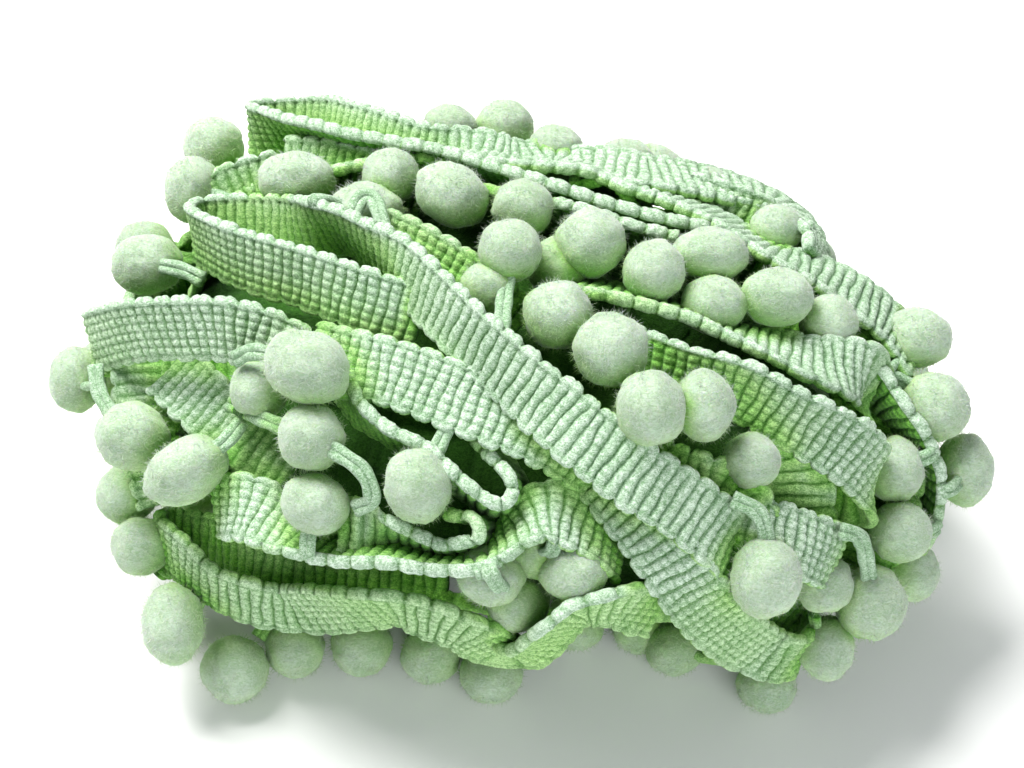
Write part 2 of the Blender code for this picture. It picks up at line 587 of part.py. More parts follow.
def keep_largest_shell(obj):
    """Applies the modifiers and drops cut-off scraps and closed-in pockets."""
    graph = bpy.context.evaluated_depsgraph_get()
    data = bpy.data.meshes.new_from_object(obj.evaluated_get(graph))
    mesh = bmesh.new()
    mesh.from_mesh(data)
    bpy.data.meshes.remove(data)
    bmesh.ops.dissolve_verts(mesh, verts=[v for v in mesh.verts if len(v.link_edges) == 2])
    bmesh.ops.triangulate(mesh, faces=mesh.faces)
    shells = []
    waiting = set(mesh.verts)
    while waiting:
        shell = [waiting.pop()]
        for vert in shell:
            for link in vert.link_edges:
                other = link.other_vert(vert)
                if other in waiting:
                    waiting.remove(other)
                    shell.append(other)
        shells.append(shell)
    largest = max(shells, key=lambda shell: shell_volume(shell))
    bmesh.ops.delete(mesh, geom=[v for shell in shells if shell is not largest for v in shell],
                     context="VERTS")
    thin_out(mesh)
    obj.modifiers.clear()
    mesh.to_mesh(obj.data)
    mesh.free()


def shell_volume(shell):
    """The volume that a shell of triangles encloses."""
    faces = {face for vert in shell for face in vert.link_faces}
    total = 0.0
    for face in faces:
        first, second, third = (vert.co for vert in face.verts)
        total += first.dot(second.cross(third)) / 6.0
    return total


def cloth_material(name, colour):
    """A matt fabric material."""
    material = bpy.data.materials.new(name)
    material.use_nodes = True
    shader = material.node_tree.nodes["Principled BSDF"]
    shader.inputs["Base Color"].default_value = colour
    shader.inputs["Roughness"].default_value = 0.95
    shader.inputs["Metallic"].default_value = 0.0
    return material


def grown_fringes(names):
    """The pieces of the named runs' fringes, grown by the clearance that others keep."""
    return [piece for name in names
            for piece in fringe_pieces(runs[name], FRINGED_EDGE[name], balls[name], CLEARANCE)]


def core_piece():
    """The wound form inside, an ellipsoid with a flat spot where it rests."""
    mesh = bmesh.new()
    place = (Matrix.Translation(Vector(CORE_MIDDLE) * MM)
             @ Matrix.Rotation(FORM_YAW, 4, "Z") @ Matrix.Diagonal((*(CORE_HALF * MM), 1.0)))
    bmesh.ops.create_uvsphere(mesh, u_segments=CORE_SIDES, v_segments=CORE_RINGS, radius=1.0,
                              matrix=place)
    cut = bmesh.ops.bisect_plane(mesh, geom=mesh.verts[:] + mesh.edges[:] + mesh.faces[:],
                                 plane_co=(0, 0, 0), plane_no=(0, 0, 1), clear_inner=True)
    rim = [item for item in cut["geom_cut"] if isinstance(item, bmesh.types.BMEdge)]
    bmesh.ops.contextual_create(mesh, geom=rim)
    return mesh


def tape_pieces():
    """Each run's tape as a closed band, without the strip that carries its stems."""
    pieces = []
    for name, (line, wide) in runs.items():
        low = -TAPE_WIDE / 2
        high = TAPE_WIDE / 2
        edge = FRINGED_EDGE.get(name, 0)
        if edge > 0:
            high -= STRIP_WIDE + STRIP_PARTING
        if edge < 0:
            low += STRIP_WIDE + STRIP_PARTING
        mesh = bmesh.new()
        add_band(mesh, line, wide, low, high, TAPE_THICK)
        pieces.append(mesh)
    return pieces


for old in list(bpy.data.objects):
    bpy.data.objects.remove(old, do_unlink=True)
scene = bpy.context.scene
hank = bpy.data.collections.new("pompom_fringe_trim")
cutters = bpy.data.collections.new("cutters")
scene.collection.children.link(hank)
scene.collection.children.link(cutters)

runs = all_runs()
balls = all_balls()

# Each run's fringe, cleared of the fringes made before it.
done = []
for name, run_balls in balls.items():
    strip, *rest = fringe_pieces(runs[name], FRINGED_EDGE[name], run_balls)
    fringe = new_object("pompoms_" + name, strip, hank)
    add_boolean(fringe, "UNION", rest)
    if done:
        add_boolean(fringe, "DIFFERENCE", grown_fringes(done))
    done.append(name)

# The tape's turns and the wound form inside them, cleared of every fringe.
tape = new_object("wound_tape", core_piece(), hank)
add_boolean(tape, "UNION", tape_pieces())
add_boolean(tape, "DIFFERENCE", grown_fringes(done))

knit = cloth_material("knitted_tape", TRIM_COLOUR)
wool = cloth_material("pompom_fluff", POMPOM_COLOUR)
for obj in list(hank.objects):
    keep_largest_shell(obj)
    obj.data.materials.append(knit if obj is tape else wool)
    obj.data.shade_smooth()
    obj.data.set_sharp_from_angle(angle=math.radians(40))
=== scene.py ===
"""Looks of the pompom fringe trim: a loose hank of knitted tape with fluffy pompoms."""
import math
from collections import namedtuple

import bmesh
import bpy
import numpy as np
from mathutils import Euler, Matrix, Vector, noise
from mathutils.bvhtree import BVHTree


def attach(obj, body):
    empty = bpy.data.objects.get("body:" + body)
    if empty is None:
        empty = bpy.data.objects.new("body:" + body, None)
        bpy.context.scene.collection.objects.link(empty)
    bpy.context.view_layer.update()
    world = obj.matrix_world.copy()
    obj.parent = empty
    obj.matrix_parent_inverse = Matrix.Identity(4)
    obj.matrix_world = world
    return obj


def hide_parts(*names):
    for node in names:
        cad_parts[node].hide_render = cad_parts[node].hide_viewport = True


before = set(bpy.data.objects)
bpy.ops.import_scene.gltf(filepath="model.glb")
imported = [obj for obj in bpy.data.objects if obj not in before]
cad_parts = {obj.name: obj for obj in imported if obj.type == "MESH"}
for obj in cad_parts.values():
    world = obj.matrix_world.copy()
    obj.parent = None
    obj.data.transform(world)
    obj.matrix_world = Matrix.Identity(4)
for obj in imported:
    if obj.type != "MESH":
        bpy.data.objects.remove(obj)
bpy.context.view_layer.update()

# The camera. It looks down at the hank's middle from 50 degrees above the surface, from the
# distance at which the picture's width takes in 192 mm there.
MM = 0.001
VIEW_HEIGHT = math.radians(50)
VIEW_DISTANCE = 420.0
PICTURE_WIDTH = 192.1
SENSOR = 36.0
HANK_MIDDLE = np.array([0.65, -1.3, 37.0])
RIGHT = np.array([1.0, 0.0, 0.0])
UPWARD = np.array([0.0, math.sin(VIEW_HEIGHT), math.cos(VIEW_HEIGHT)])
TOWARD = np.array([0.0, -math.cos(VIEW_HEIGHT), math.sin(VIEW_HEIGHT)])
SKYWARD = np.array([0.0, 0.0, 1.0])

scene = bpy.context.scene
camera_data = bpy.data.cameras.new("camera")
camera_data.sensor_width = SENSOR
camera_data.lens = SENSOR * VIEW_DISTANCE / PICTURE_WIDTH
camera_data.clip_start = 0.01
camera = bpy.data.objects.new("camera", camera_data)
camera.location = Vector(HANK_MIDDLE + TOWARD * VIEW_DISTANCE) * MM
camera.rotation_euler = (math.pi / 2 - VIEW_HEIGHT, 0.0, 0.0)
scene.collection.objects.link(camera)
scene.camera = camera

# How the hank lies. The tape is wound in long flattened loops round an egg-shaped middle,
# with hairpin bends at both ends. Its runs and pompoms are placed as they are seen: across
# and up in millimetres in the view, and lift above the rounded form, toward the viewer.
FORM_HALF = np.array([84.0, 57.0, 37.0])
FORM_YAW = math.radians(-14)
BACK_HALF = np.array([75.0, 45.0])
OUTLINE_SOFTNESS = 0.02
TOP_RING = 0.12

# A bend or a straight of a tape run that the view shows. turn leans the tape's width from
# the view's upright, counter-clockwise, and lean brings its upper edge toward the viewer.
Station = namedtuple("Station", "across up lift turn lean")

# Columns: across, up, lift, turn, lean.
SEEN_RUNS = {
    "top_loop": (
        (36, 28, -6, -5, 78), (24, 31, -5, -12, 80), (7, 36, -4, -15, 80),
        (-12.5, 42.2, -4, -12, 82), (-21, 43.8, -4, -5, 82), (-29.5, 45.2, -4, -8, 82),
        (-38.5, 47, -3.5, -12, 76), (-45, 47.5, -3, -8, 52), (-48.5, 47.5, -6, -2, 25),
        (-46, 48.2, -10, 0, 8), (-38, 48.8, -10.2, -3, 5), (-29.5, 47.2, -10, -8, 8),
        (-17.5, 43.4, -10, -10, 8), (-7.9, 42.6, -9.5, -13, -20), (-0.4, 41.8, -9, -15, -42),
        (7, 42.4, -8.5, -16, -62), (13.1, 41.2, -8, -18, -72), (22.1, 37.5, -7, -22, -76),
        (29.1, 35.1, -6.5, -24, -76), (39, 30.6, -5, -28, -74), (49, 24.6, -3, -30, -70),
        (57, 21.3, -1, -30, -60), (65, 16.5, 0, -32, -50), (71, 11.5, -1, -38, -50),
        (76, 4, -4, -42, -50)),
    "back_right": (
        (11, 40, -9, 0, -45), (18, 40.3, -6, -3, -52), (26, 39.4, -4, -5, -56),
        (36, 38, -4, -8, -57), (46, 35.4, -3, -18, -64), (52.5, 32, -2, -35, -72),
        (56.5, 27, -2, -60, -76), (58, 22, -4, -80, -72)),
    "under_top": (
        (-16, 36.5, -9, -15, 70), (0, 33.3, -7, -12, 70), (10, 31.3, -7, -20, 70),
        (21, 27.8, -7, -20, 70), (30, 25.5, -8, -10, 70)),
    "main_loop": (
        (-17, 12.5, -2, -10, 10), (-26, 15.3, 0, -10, 15), (-33.5, 17.8, 1, -8, 20),
        (-40, 20, 1.5, -6, 25), (-47, 22.2, 2, -4, 25), (-53.5, 24.6, 1.5, 0, 30),
        (-57.5, 27, -1, 4, 35), (-59.2, 28.6, -5, 5, 30), (-57, 29.4, -10, 3, 12),
        (-50, 29.6, -12, 0, 5), (-43, 29.6, -10, -2, 10), (-38, 29.4, -6, -8, 40),
        (-32.5, 28.9, -2, -20, 66), (-26.2, 25.3, 1, -33, 64), (-20.8, 21.6, 3.5, -42, 50),
        (-14.3, 15.4, 5.5, -43, 42), (-8.2, 9.2, 6, -42, 38), (-1.9, 3.8, 6, -40, 32),
        (3.6, -1.2, 6, -42, 24), (8.4, -5.4, 6, -43, 10), (12.6, -9.4, 6, -42, 5),
        (17.8, -13, 5.5, -38, 0), (22.7, -16.8, 5, -36, 0), (28, -20.3, 4, -40, -5),
        (35.5, -25.7, 2.5, -42, -12), (39.6, -29.8, 0, -42, -30), (43, -35, -4, -45, -45)),
    "behind_main": (
        (-37, 5.5, -5, -3, 0), (-30, 3.8, -1.5, -8, 0), (-22, 2.2, -0.5, -14, 0),
        (-14, -0.8, 0, -20, 0), (-7, -3.8, 0, -22, 0), (0, -6.5, 0, -24, 0),
        (8, -10.2, -1, -26, 0), (16, -15, -5, -30, 0)),
    "inner_green": (
        (-28, 28, -8, -20, 10), (-20, 25, -5, -24, 10), (-12.5, 20.7, -5, -28, 10),
        (-6, 16.2, -5, -30, 10), (1, 10, -7, -30, 10)),
    "left_loop": (
        (-33, 0, -5, -30, 0), (-39, 4.4, -2, -20, 0), (-46, 8.2, 0.5, -8, 12),
        (-54, 10.4, 2, 0, 22), (-62.5, 10.4, 2, 2, 25), (-70, 10, 1.5, 6, 26),
        (-75.5, 8.8, -1, 12, 22), (-78.3, 7.8, -5.5, 12, 15), (-74.5, 7.3, -12, 6, 5),
        (-67, 5.8, -15, 2, 0), (-60.5, 5, -16, 0, 0), (-54, 6, -18, -5, 0),
        (-46, 8.5, -20, -8, 0)),
    "edge_run": (
        (-32.6, 1.5, -9, -30, 60), (-28.5, -5, -5, -32, 74), (-23, -9.3, -4, -28, 78),
        (-16.5, -12.6, -4, -32, 78), (-11.3, -17.5, -4, -42, 78), (-5.8, -22, -4, -35, 78),
        (-2, -23.4, -4.5, -15, 78), (0.6, -21.4, -5, 20, 76), (0.2, -17.5, -6, 60, 76),
        (-4, -12, -9, 70, 70)),
    "small_twist": (
        (-32, -27.4, -2, -8, -25), (-28.4, -27.3, -2, -10, 10), (-25, -27.6, -2.8, -14, 48),
        (-21.3, -28, -3.5, -18, 72), (-14, -30.8, -4, -22, 76), (-9, -30.6, -4, 10, 76),
        (-5.4, -29, -4.5, 45, 76), (-5.2, -26.4, -5, 80, 76), (-9, -24.5, -8, 95, 72)),
    "front_swag": (
        (28, -42, -6, -15, 35), (22.3, -41.2, -1, -8, 50), (17.5, -41.6, 1, 3, 60),
        (12.4, -42.6, 2, 20, 66), (8, -45.6, 3, 35, 70), (3.4, -49.4, 3, 20, 70),
        (-1, -50, 3, -8, 66), (-6, -47.5, 3, -22, 56), (-11.3, -45.4, 3, -18, 55),
        (-17.8, -43.3, 2.5, -12, 55), (-23.5, -42, 2, -4, 64), (-31, -42, 2, 2, 56),
        (-39.8, -42.2, 2.5, 0, 46), (-49.2, -41, 2.5, -3, 44), (-56.5, -38, 2, -12, 50),
        (-61.5, -33.5, 0, -10, 42), (-65, -30.2, -4, 5, 28), (-63.5, -29.3, -9, 6, 12),
        (-57, -30, -12, 0, 5), (-48, -31.5, -14, -5, 5), (-38, -33.5, -16, -8, 5),
        (-26, -35, -17, -5, 5), (-12, -36.5, -18, 0, 5)),
    "lower_inner": (
        (-49, -22, -11, 8, 0), (-54.5, -22.3, -7, 12, 0), (-54.3, -23, -2.5, 6, -5),
        (-49.5, -23.5, -1.5, -8, -10), (-44, -26, -1.5, -18, -30), (-38, -29, -1.5, -10, -60),
        (-31, -31, -1.5, -3, -74), (-23, -31.8, -1.5, -3, -78), (-15, -33.2, -1.5, -6, -78),
        (-7.5, -33, -1.5, 5, -76), (-3, -31, -2, 20, -72), (0.2, -28, -2, 22, -60),
        (3.6, -25.2, -2, 10, -42), (8.1, -24.2, -2.5, 0, -27), (12.9, -26.1, -3.5, -12, -30),
        (17.4, -29, -5, -22, -40), (20.5, -31.5, -8, -28, -40)),
    "lower_right": (
        (12, -11, -7, -45, 0), (18, -17.5, -4, -50, 5), (24, -25, -1, -52, 10),
        (28.8, -32, 1, -50, 15), (34.2, -39.6, 2, -46, 20), (40, -45.6, 2.5, -42, 25),
        (46, -49.8, 2, -35, 32), (51, -51.6, -0.5, -26, 38), (54, -50.2, -5, -18, 38),
        (53, -46.6, -10, -18, 30), (47, -43, -13, -25, 20)),
    "right_lower_back": (
        (24, -14, -7, -10, 10), (31, -18.2, -4, -12, 10), (38.5, -20.2, -3, -18, 15),
        (43, -24, -3, -35, 20), (45.5, -30, -5, -55, 20)),
    "right_lower": (
        (40, -25.5, -4, -20, -10), (46, -27, -1, -18, -15), (52.7, -29, 0, -15, -20),
        (57.5, -31.2, -1, -20, -10), (60.5, -32.5, -5, -24, 0), (58.5, -31, -11, -18, 10),
        (51, -28, -14, 0, 20)),
    "right_loop": (
        (20, 5.6, -7, -12, 20), (31, 2.2, -3, -18, 25), (42.5, -0.8, 0, -20, 30),
        (51.2, -5.6, 1, -26, 30), (58, -8.8, 1.5, -27, 22), (63.6, -12.4, 1, -26, 10),
        (67.2, -17, -3, -15, 10), (65.6, -20.6, -9, -5, 10), (60, -20, -14, 0, 10),
        (52, -17, -17, 0, 10)),
    "right_fan": (
        (8, 19, -5, -20, -70), (14.5, 17.9, -4, -15, -76), (20.3, 16.7, -3, -14, -78),
        (32.5, 13.5, -3, -18, -78), (39, 10.7, -3, -20, -76), (44.5, 8.6, -2, -14, -70),
        (50.7, 6.4, -1, -5, -59), (56.7, 4.3, 0, 0, -45), (62.7, 3, 0, -10, -27),
        (66.5, 1.2, -3, -30, -12), (66, -3, -9, -25, -5), (60, -4.5, -14, -10, 0)),
    "right_rim": (
        (60, 6, -13, -30, 50), (66, 1.5, -9.5, -45, 66), (71, -5, -8, -52, 72),
        (75, -10.5, -8, -62, 75), (77.6, -16.5, -8, -82, 75), (77.6, -23, -8, -95, 75),
        (75, -29.5, -9, -115, 72), (70, -34, -13, -130, 60)),
    "inner_patch": (
        (52, -4, -12, 84, 0), (54, -12, -9, 86, 0), (54.8, -20, -9, 92, 0),
        (54, -29, -12, 96, 0)),
}

# The runs round the back, out of that view. bearing is in degrees round the hank from its
# right end toward the back, height is of the tape's middle above the surface it lies on.
BackStation = namedtuple("BackStation", "bearing height lift lean")

# Columns: bearing, height, lift, lean.
BACK_RUNS = {
    "back_top": (
        (40, 54, -9, 0), (58, 62, 0, 10), (88, 65, 1, 5), (118, 64, 1, 10), (142, 58, -2, 5),
        (156, 50, -11, 0)),
    "back_upper": (
        (14, 42, -11, 0), (30, 50, 0, 5), (58, 51, 2, 0), (90, 49, 1, 8), (120, 51, 2, 0),
        (146, 49, 0, 5), (164, 43, -11, 0)),
    "back_middle": (
        (2, 33, -12, 0), (18, 36, 1, 0), (48, 36, 2, 10), (78, 34, 2, 0), (108, 36, 2, 5),
        (140, 36, 1, 10), (164, 33, 1, 0), (182, 31, -12, 0)),
    "back_lower": (
        (-16, 21, -12, 0), (2, 21.5, 1, 0), (32, 20, 3, -8), (64, 22, 2, 0), (96, 20, 3, 5),
        (128, 22, 2, 0), (156, 20, 2, 0), (180, 22, 1, 0), (198, 20, -12, 0)),
    "base": (
        (-46, 8, -10, -10), (-24, 7.5, 1, -10), (10, 7.5, 1, -15), (50, 8, 2, -12),
        (90, 7.5, 1, -15), (130, 8, 2, -12), (170, 7.5, 1, -15), (204, 7.5, 1, -10),
        (224, 8, -10, -10)),
    "front_under": (
        (-166, 28, -8, 0), (-148, 27, -1, 10), (-122, 25, 0, 5), (-95, 26, 0, 10),
        (-66, 25, 0, 5), (-40, 27, 0, 8), (-18, 28, -8, 0)),
}

# A pompom: its middle and its half sizes as the view shows them at the hank's middle.
Pompom = namedtuple("Pompom", "across up lift wide tall turn")
ON_FLOOR = None

# Columns: across, up, lift, half wide, half tall, turn, for the pompoms of each run.
SEEN_POMPOMS = {
    "main_loop": (
        (-59.8, 36.4, -10, 5.8, 6.9, 0), (-68.5, 22.3, -6, 7.1, 6.2, 0),
        (-27.6, 31.5, -7, 8, 6.9, 0), (-0.4, 25, 6, 6.5, 6.4, 0), (47.5, -36.2, 6, 7.3, 8.2, 0)),
    "top_loop": (
        (-56, 44.5, -13.94, 6, 6, 0), (-40.3, 38.3, -5, 7.9, 5.8, 0), (-22.7, 39, -3, 5.8, 5.8, 0),
        (-11.3, 35.5, 1, 7.7, 6.3, -30), (2, 33, 0, 6.2, 6, 0), (14.6, 26.5, 2, 7.1, 7, 0),
        (8.3, 22, -4, 6, 6, 0), (26.6, 21.2, 2, 6.3, 6.4, 0), (37.1, 24.2, 2, 7.9, 5.6, 0)),
    "back_right": ((49.5, 29, -4, 5.5, 5.2, 0),),
    "back_top": (
        (-11.8, 47, -15, 5.8, 5.8, 0), (-1.3, 48, -16, 5.8, 5.8, 0), (8, 43.5, -14, 5.8, 5.8, 0),
        (21, 41.5, -14, 6, 5, 0)),
    "inner_green": ((-4.9, 18, 1, 5.4, 5.4, 0),),
    "left_loop": (
        (-81.835, 0.8, -10, 5.6, 6.6, 0), (-71.3, -9.8, 0, 7.5, 6.9, 0),
        (-61.3, -16.3, 2, 9, 6.4, 30),
        (-38.5, 3.2, 7, 9.2, 7.4, -25), (-47.3, -1, -4, 6, 6, 0)),
    "right_fan": (
        (8.6, 13, 2, 7.1, 7.1, 0), (18.6, 6.4, 6, 7.7, 7.7, 0), (37.7, 15, -2, 6.8, 5.8, 0),
        (49.7, 16.3, 3, 7.5, 5.9, 0), (59.5, 11.3, -1, 5.8, 5.8, 0), (75.6, 8.6, 0, 7.5, 6.2, 0),
        (79.4, -4.3, 0, 7.1, 7.1, 0)),
    "right_loop": (
        (25.9, -4.7, 8, 7.2, 7.7, 0), (36, -4, 6, 6.4, 7.3, 0), (44.8, -14.4, -1, 5.8, 5.8, 0)),
    "right_rim": (
        (84.8, -16, 0, 5.9, 7.4, 0), (71.9, -16, -8, 5.8, 6.6, 0), (72.8, -27.8, -2, 6.4, 6.2, 0),
        (74.6, -35.3, -8, 6, 6, 0)),
    "right_lower": (
        (67.4, -41, 2, 7.1, 7.5, 0), (58.9, -49.5, -3, 5.8, 6.6, 0), (58.5, -37.5, -5, 6, 6, 0)),
    "lower_right": ((47.8, -56.5, ON_FLOOR, 6, 5.6, 0), (30.4, -49.5, ON_FLOOR, 5.8, 5.6, 0)),
    "front_swag": (
        (-72.2, -20.8, -6, 6, 6, 0), (-69.6, -30.4, -4, 6, 6, 0), (-63.6, -45, -2, 6.4, 8.1, 0)),
    "front_under": (
        (-52, -53.5, ON_FLOOR, 6.8, 6.6, 0), (-40.7, -49.5, ON_FLOOR, 6, 6, 0),
        (-28.3, -49, ON_FLOOR, 6.2, 6, 0), (-15.2, -50.7, ON_FLOOR, 6, 6, 0),
        (-3.9, -54.4, ON_FLOOR, 6.4, 5.8, 0), (12, -44.5, ON_FLOOR, 6, 6, 0),
        (24, -45.5, ON_FLOOR, 5.8, 5.6, 0)),
    "small_twist": ((-37.7, -10, 3, 6.8, 6.8, 0),),
    "lower_inner": (
        (-37, -22.6, 2, 7.1, 6.2, -30), (-4, -36, -2, 7, 6.2, 0), (1.1, -41, -5, 6.2, 6, 0),
        (11.4, -35.3, -2, 6.8, 6.2, 0), (4.5, -31, -6, 6, 6, 0)),
    "behind_main": ((-17.6, -19, 1, 6.8, 7.7, 12),),
}

# Columns: first bearing, last bearing, count, height and lift of the pompoms' middles.
BACK_POMPOMS = {
    "back_top": (42, 56, 2, 53, 5.5),
    "back_upper": (26, 156, 7, 41, 6.5),
    "back_middle": (6, 172, 8, 27.5, 7.5),
    "back_lower": (-6, 188, 9, 13.5, 9.5),
    "base": (-32, 212, 8, 6.3, 11.5),
}
BACK_POMPOM_HALF = 6.3

# The fringed edge of each run: 1 is the upper one, -1 the lower.
FRINGED_EDGE = {
    "main_loop": 1, "top_loop": -1, "back_right": -1, "inner_green": -1, "left_loop": -1,
    "right_fan": 1, "right_loop": -1, "right_rim": 1, "right_lower": -1, "lower_right": -1,
    "front_swag": -1, "small_twist": 1, "lower_inner": -1, "behind_main": -1,
    "back_top": -1, "back_upper": -1, "back_middle": -1, "back_lower": -1, "base": -1,
    "front_under": -1,
}


def seen(across, up, out):
    """The place that the view shows at across and up, out toward the viewer."""
    nearer = 1.0 - out / VIEW_DISTANCE
    return HANK_MIDDLE + (RIGHT * across + UPWARD * up) * nearer + TOWARD * out


def in_form(step):
    """A step from the hank's middle, measured in the wound form's half sizes."""
    c = math.cos(FORM_YAW)
    s = math.sin(FORM_YAW)
    along = c * step[0] + s * step[1]
    back = c * step[1] - s * step[0]
    return np.array([along, back, step[2]]) / FORM_HALF


def form_depth(across, up):
    """How far toward the viewer the wound form's surface lies, soft past its outline."""
    base = in_form(RIGHT * across + UPWARD * up)
    ray = in_form(TOWARD)
    square = ray @ ray
    half_sum = base @ ray
    inside = half_sum ** 2 - square * (base @ base - 1.0)
    soft = OUTLINE_SOFTNESS * square
    reach = math.sqrt((inside + math.hypot(inside, soft)) / 2.0)
    return (reach - half_sum) / square


def around(bearing, height, lift):
    """A place on the wound form at a bearing and a height, lifted outward."""
    angle = math.radians(bearing)
    level = (height - HANK_MIDDLE[2]) / FORM_HALF[2]
    ring = math.sqrt(max(1.0 - level ** 2, TOP_RING))
    reach = 1.0 / math.hypot(math.cos(angle - FORM_YAW) / BACK_HALF[0],
                             math.sin(angle - FORM_YAW) / BACK_HALF[1])
    outward = np.array([math.cos(angle), math.sin(angle), 0.0])
    middle = HANK_MIDDLE * np.array([1.0, 1.0, 0.0])
    return middle + outward * (ring * reach + lift) + SKYWARD * height


def seen_width(turn, lean):
    """The tape's width direction at a seen station."""
    turn = math.radians(turn)
    lean = math.radians(lean)
    flat = UPWARD * math.cos(turn) - RIGHT * math.sin(turn)
    return flat * math.cos(lean) + TOWARD * math.sin(lean)


def back_width(bearing, height, lean):
    """The tape's width direction at the back: up the form's slope, tipped outward by lean."""
    slope = around(bearing, height + 4.0, 0.0) - around(bearing, height - 4.0, 0.0)
    slope /= np.linalg.norm(slope)
    angle = math.radians(bearing)
    outward = np.array([math.cos(angle), math.sin(angle), 0.0])
    return slope + outward * math.tan(math.radians(lean))


def seen_ball(pompom):
    """A seen pompom's middle and its three half axes, in millimetres."""
    if pompom.lift is ON_FLOOR:
        depth_of_middle = pompom.tall - HANK_MIDDLE[2] - pompom.up * UPWARD[2]
        out = depth_of_middle / (TOWARD[2] - pompom.up * UPWARD[2] / VIEW_DISTANCE)
        side, upright, deep = RIGHT, SKYWARD, np.array([0.0, 1.0, 0.0])
    else:
        out = form_depth(pompom.across, pompom.up) + pompom.lift
        turn = math.radians(pompom.turn)
        side = RIGHT * math.cos(turn) + UPWARD * math.sin(turn)
        upright = UPWARD * math.cos(turn) - RIGHT * math.sin(turn)
        deep = -TOWARD
    nearer = 1.0 - out / VIEW_DISTANCE
    wide = pompom.wide * nearer
    tall = pompom.tall * nearer
    middle = seen(pompom.across, pompom.up, out)
    if pompom.lift is ON_FLOOR:
        middle[2] = tall
    return middle, side * wide, deep * (wide + tall) / 2, upright * tall


def back_balls(first, last, count, height, lift):
    """The pompoms of a back run, a little uneven in height and lift."""
    balls = []
    for index in range(count):
        bearing = first + (last - first) * index / (count - 1)
        if height > BACK_POMPOM_HALF:
            level = height + 1.5 * math.sin(2.4 * index + height)
        else:
            level = BACK_POMPOM_HALF
        middle = around(bearing, level, lift + math.sin(1.7 * index + lift))
        half = BACK_POMPOM_HALF
        balls.append((middle, RIGHT * half, np.array([0.0, half, 0.0]), SKYWARD * half))
    return balls


def all_balls():
    """The pompoms of each run that has any."""
    balls = {}
    for name, rows in SEEN_POMPOMS.items():
        balls[name] = [seen_ball(Pompom(*row)) for row in rows]
    for name, row in BACK_POMPOMS.items():
        balls.setdefault(name, []).extend(back_balls(*row))
    return balls


# The knitted tape, 11.9 mm wide. One soft yarn goes back and forth across it and turns round
# at the edges, so that two ribs share each rounded lobe, by turns at the one edge and the
# other. Chain stitches along it make one face a grid, and the other shows the plain ribs.
TAPE_WIDE = 11.9
RIB_PITCH = 2.08
ROWED_HALF = 4.7
ROW_PITCH = ROWED_HALF / 3
LOBE_REACH = 1.3
CREST_HALF = 1.15
VALLEY_HALF = 0.35
LOBE_HALF = 1.45
DIP_HALF = 0.95
TWIST = 0.38
CUPPING = 0.5
EDGE_SWAY = 0.25
YARN_ROUGHNESS = 0.035
RIB_WANDER = 0.2
BEADING = 0.3
EDGE_ANGLES = (62, 32, 0, -32, -62)
TURNING_IN = 3.7
LOBE_UNEVENNESS = 0.12
SWAY_LONG = 14.0
CUP_LONG = 30.0
CURVE_SAMPLES = 40

# The one cut end that shows is folded back over its first two ribs.
FOLDED_END = "small_twist"
FOLDED_RIBS = 2
FOLDED_HEIGHT = 1.7

# The side of each run's tape that has the grid: 1 is where its face looks, -1 the other.
GRID_SIDE = {
    "top_loop": -1, "back_right": 1, "under_top": 1, "main_loop": -1, "behind_main": 1,
    "inner_green": 1, "left_loop": -1, "edge_run": -1, "small_twist": -1, "front_swag": -1,
    "lower_inner": 1, "lower_right": 1, "right_lower_back": 1, "right_lower": 1,
    "right_loop": 1, "right_fan": -1, "right_rim": 1, "inner_patch": 1,
    "back_top": 1, "back_upper": -1, "back_middle": 1, "back_lower": -1, "base": 1,
    "front_under": 1,
    "inner_right": 1, "inner_top": 1, "inner_middle": 1, "inner_fold": 1,
    "inner_hollow": 1, "inner_corner": 1, "inner_left": 1,
}


def smooth_rows(rows, samples):
    """A smooth curve through the rows, with some samples to each span."""
    rows = np.array(rows)
    first = 2 * rows[0] - rows[1]
    last = 2 * rows[-1] - rows[-2]
    padded = np.vstack([first, rows, last])
    curve = []
    for index in range(len(rows) - 1):
        before, start, end, after = padded[index:index + 4]
        for sample in range(samples):
            t = sample / samples
            bend = 2 * before - 5 * start + 4 * end - after
            twist = 3 * start - before - 3 * end + after
            curve.append(start + 0.5 * ((end - before) * t + bend * t ** 2 + twist * t ** 3))
    curve.append(rows[-1])
    return np.array(curve)


def distance_along(curve):
    """How far along a curve each of its points lies."""
    gaps = np.linalg.norm(np.diff(curve, axis=0), axis=1)
    return np.concatenate([[0.0], np.cumsum(gaps)])


def resampled(table, known, marks):
    """Each column of a table, read at the marks."""
    return np.stack([np.interp(marks, known, column) for column in table.T], axis=1)


def unit_rows(rows):
    """The rows, each made one long."""
    return rows / np.linalg.norm(rows, axis=1)[:, None]


def square_to(tangent, rows):
    """Unit rows turned square to the tangents."""
    return unit_rows(rows - tangent * np.sum(rows * tangent, axis=1)[:, None])


def tape_lay(centres, widths, rib_samples):
    """The middles, width directions and face directions of a run, some to each rib."""
    curve = smooth_rows(np.hstack([centres, widths]), CURVE_SAMPLES)
    travelled = distance_along(curve[:, :3])
    ribs = max(round(travelled[-1] / RIB_PITCH), 2)
    marks = np.linspace(0.0, travelled[-1], ribs * rib_samples + 1)
    even = resampled(curve, travelled, marks)
    line = even[:, :3]
    tangent = unit_rows(np.gradient(line, axis=0))
    wide = square_to(tangent, even[:, 3:])
    return line, wide, np.cross(tangent, wide)


def arch(share, plumpness=2.6):
    """A plump arch over each whole number, from 0 at its ends to 1 in its middle."""
    return np.sqrt(np.clip(1.0 - np.abs(2.0 * (share % 1.0) - 1.0) ** plumpness, 0.0, 1.0))


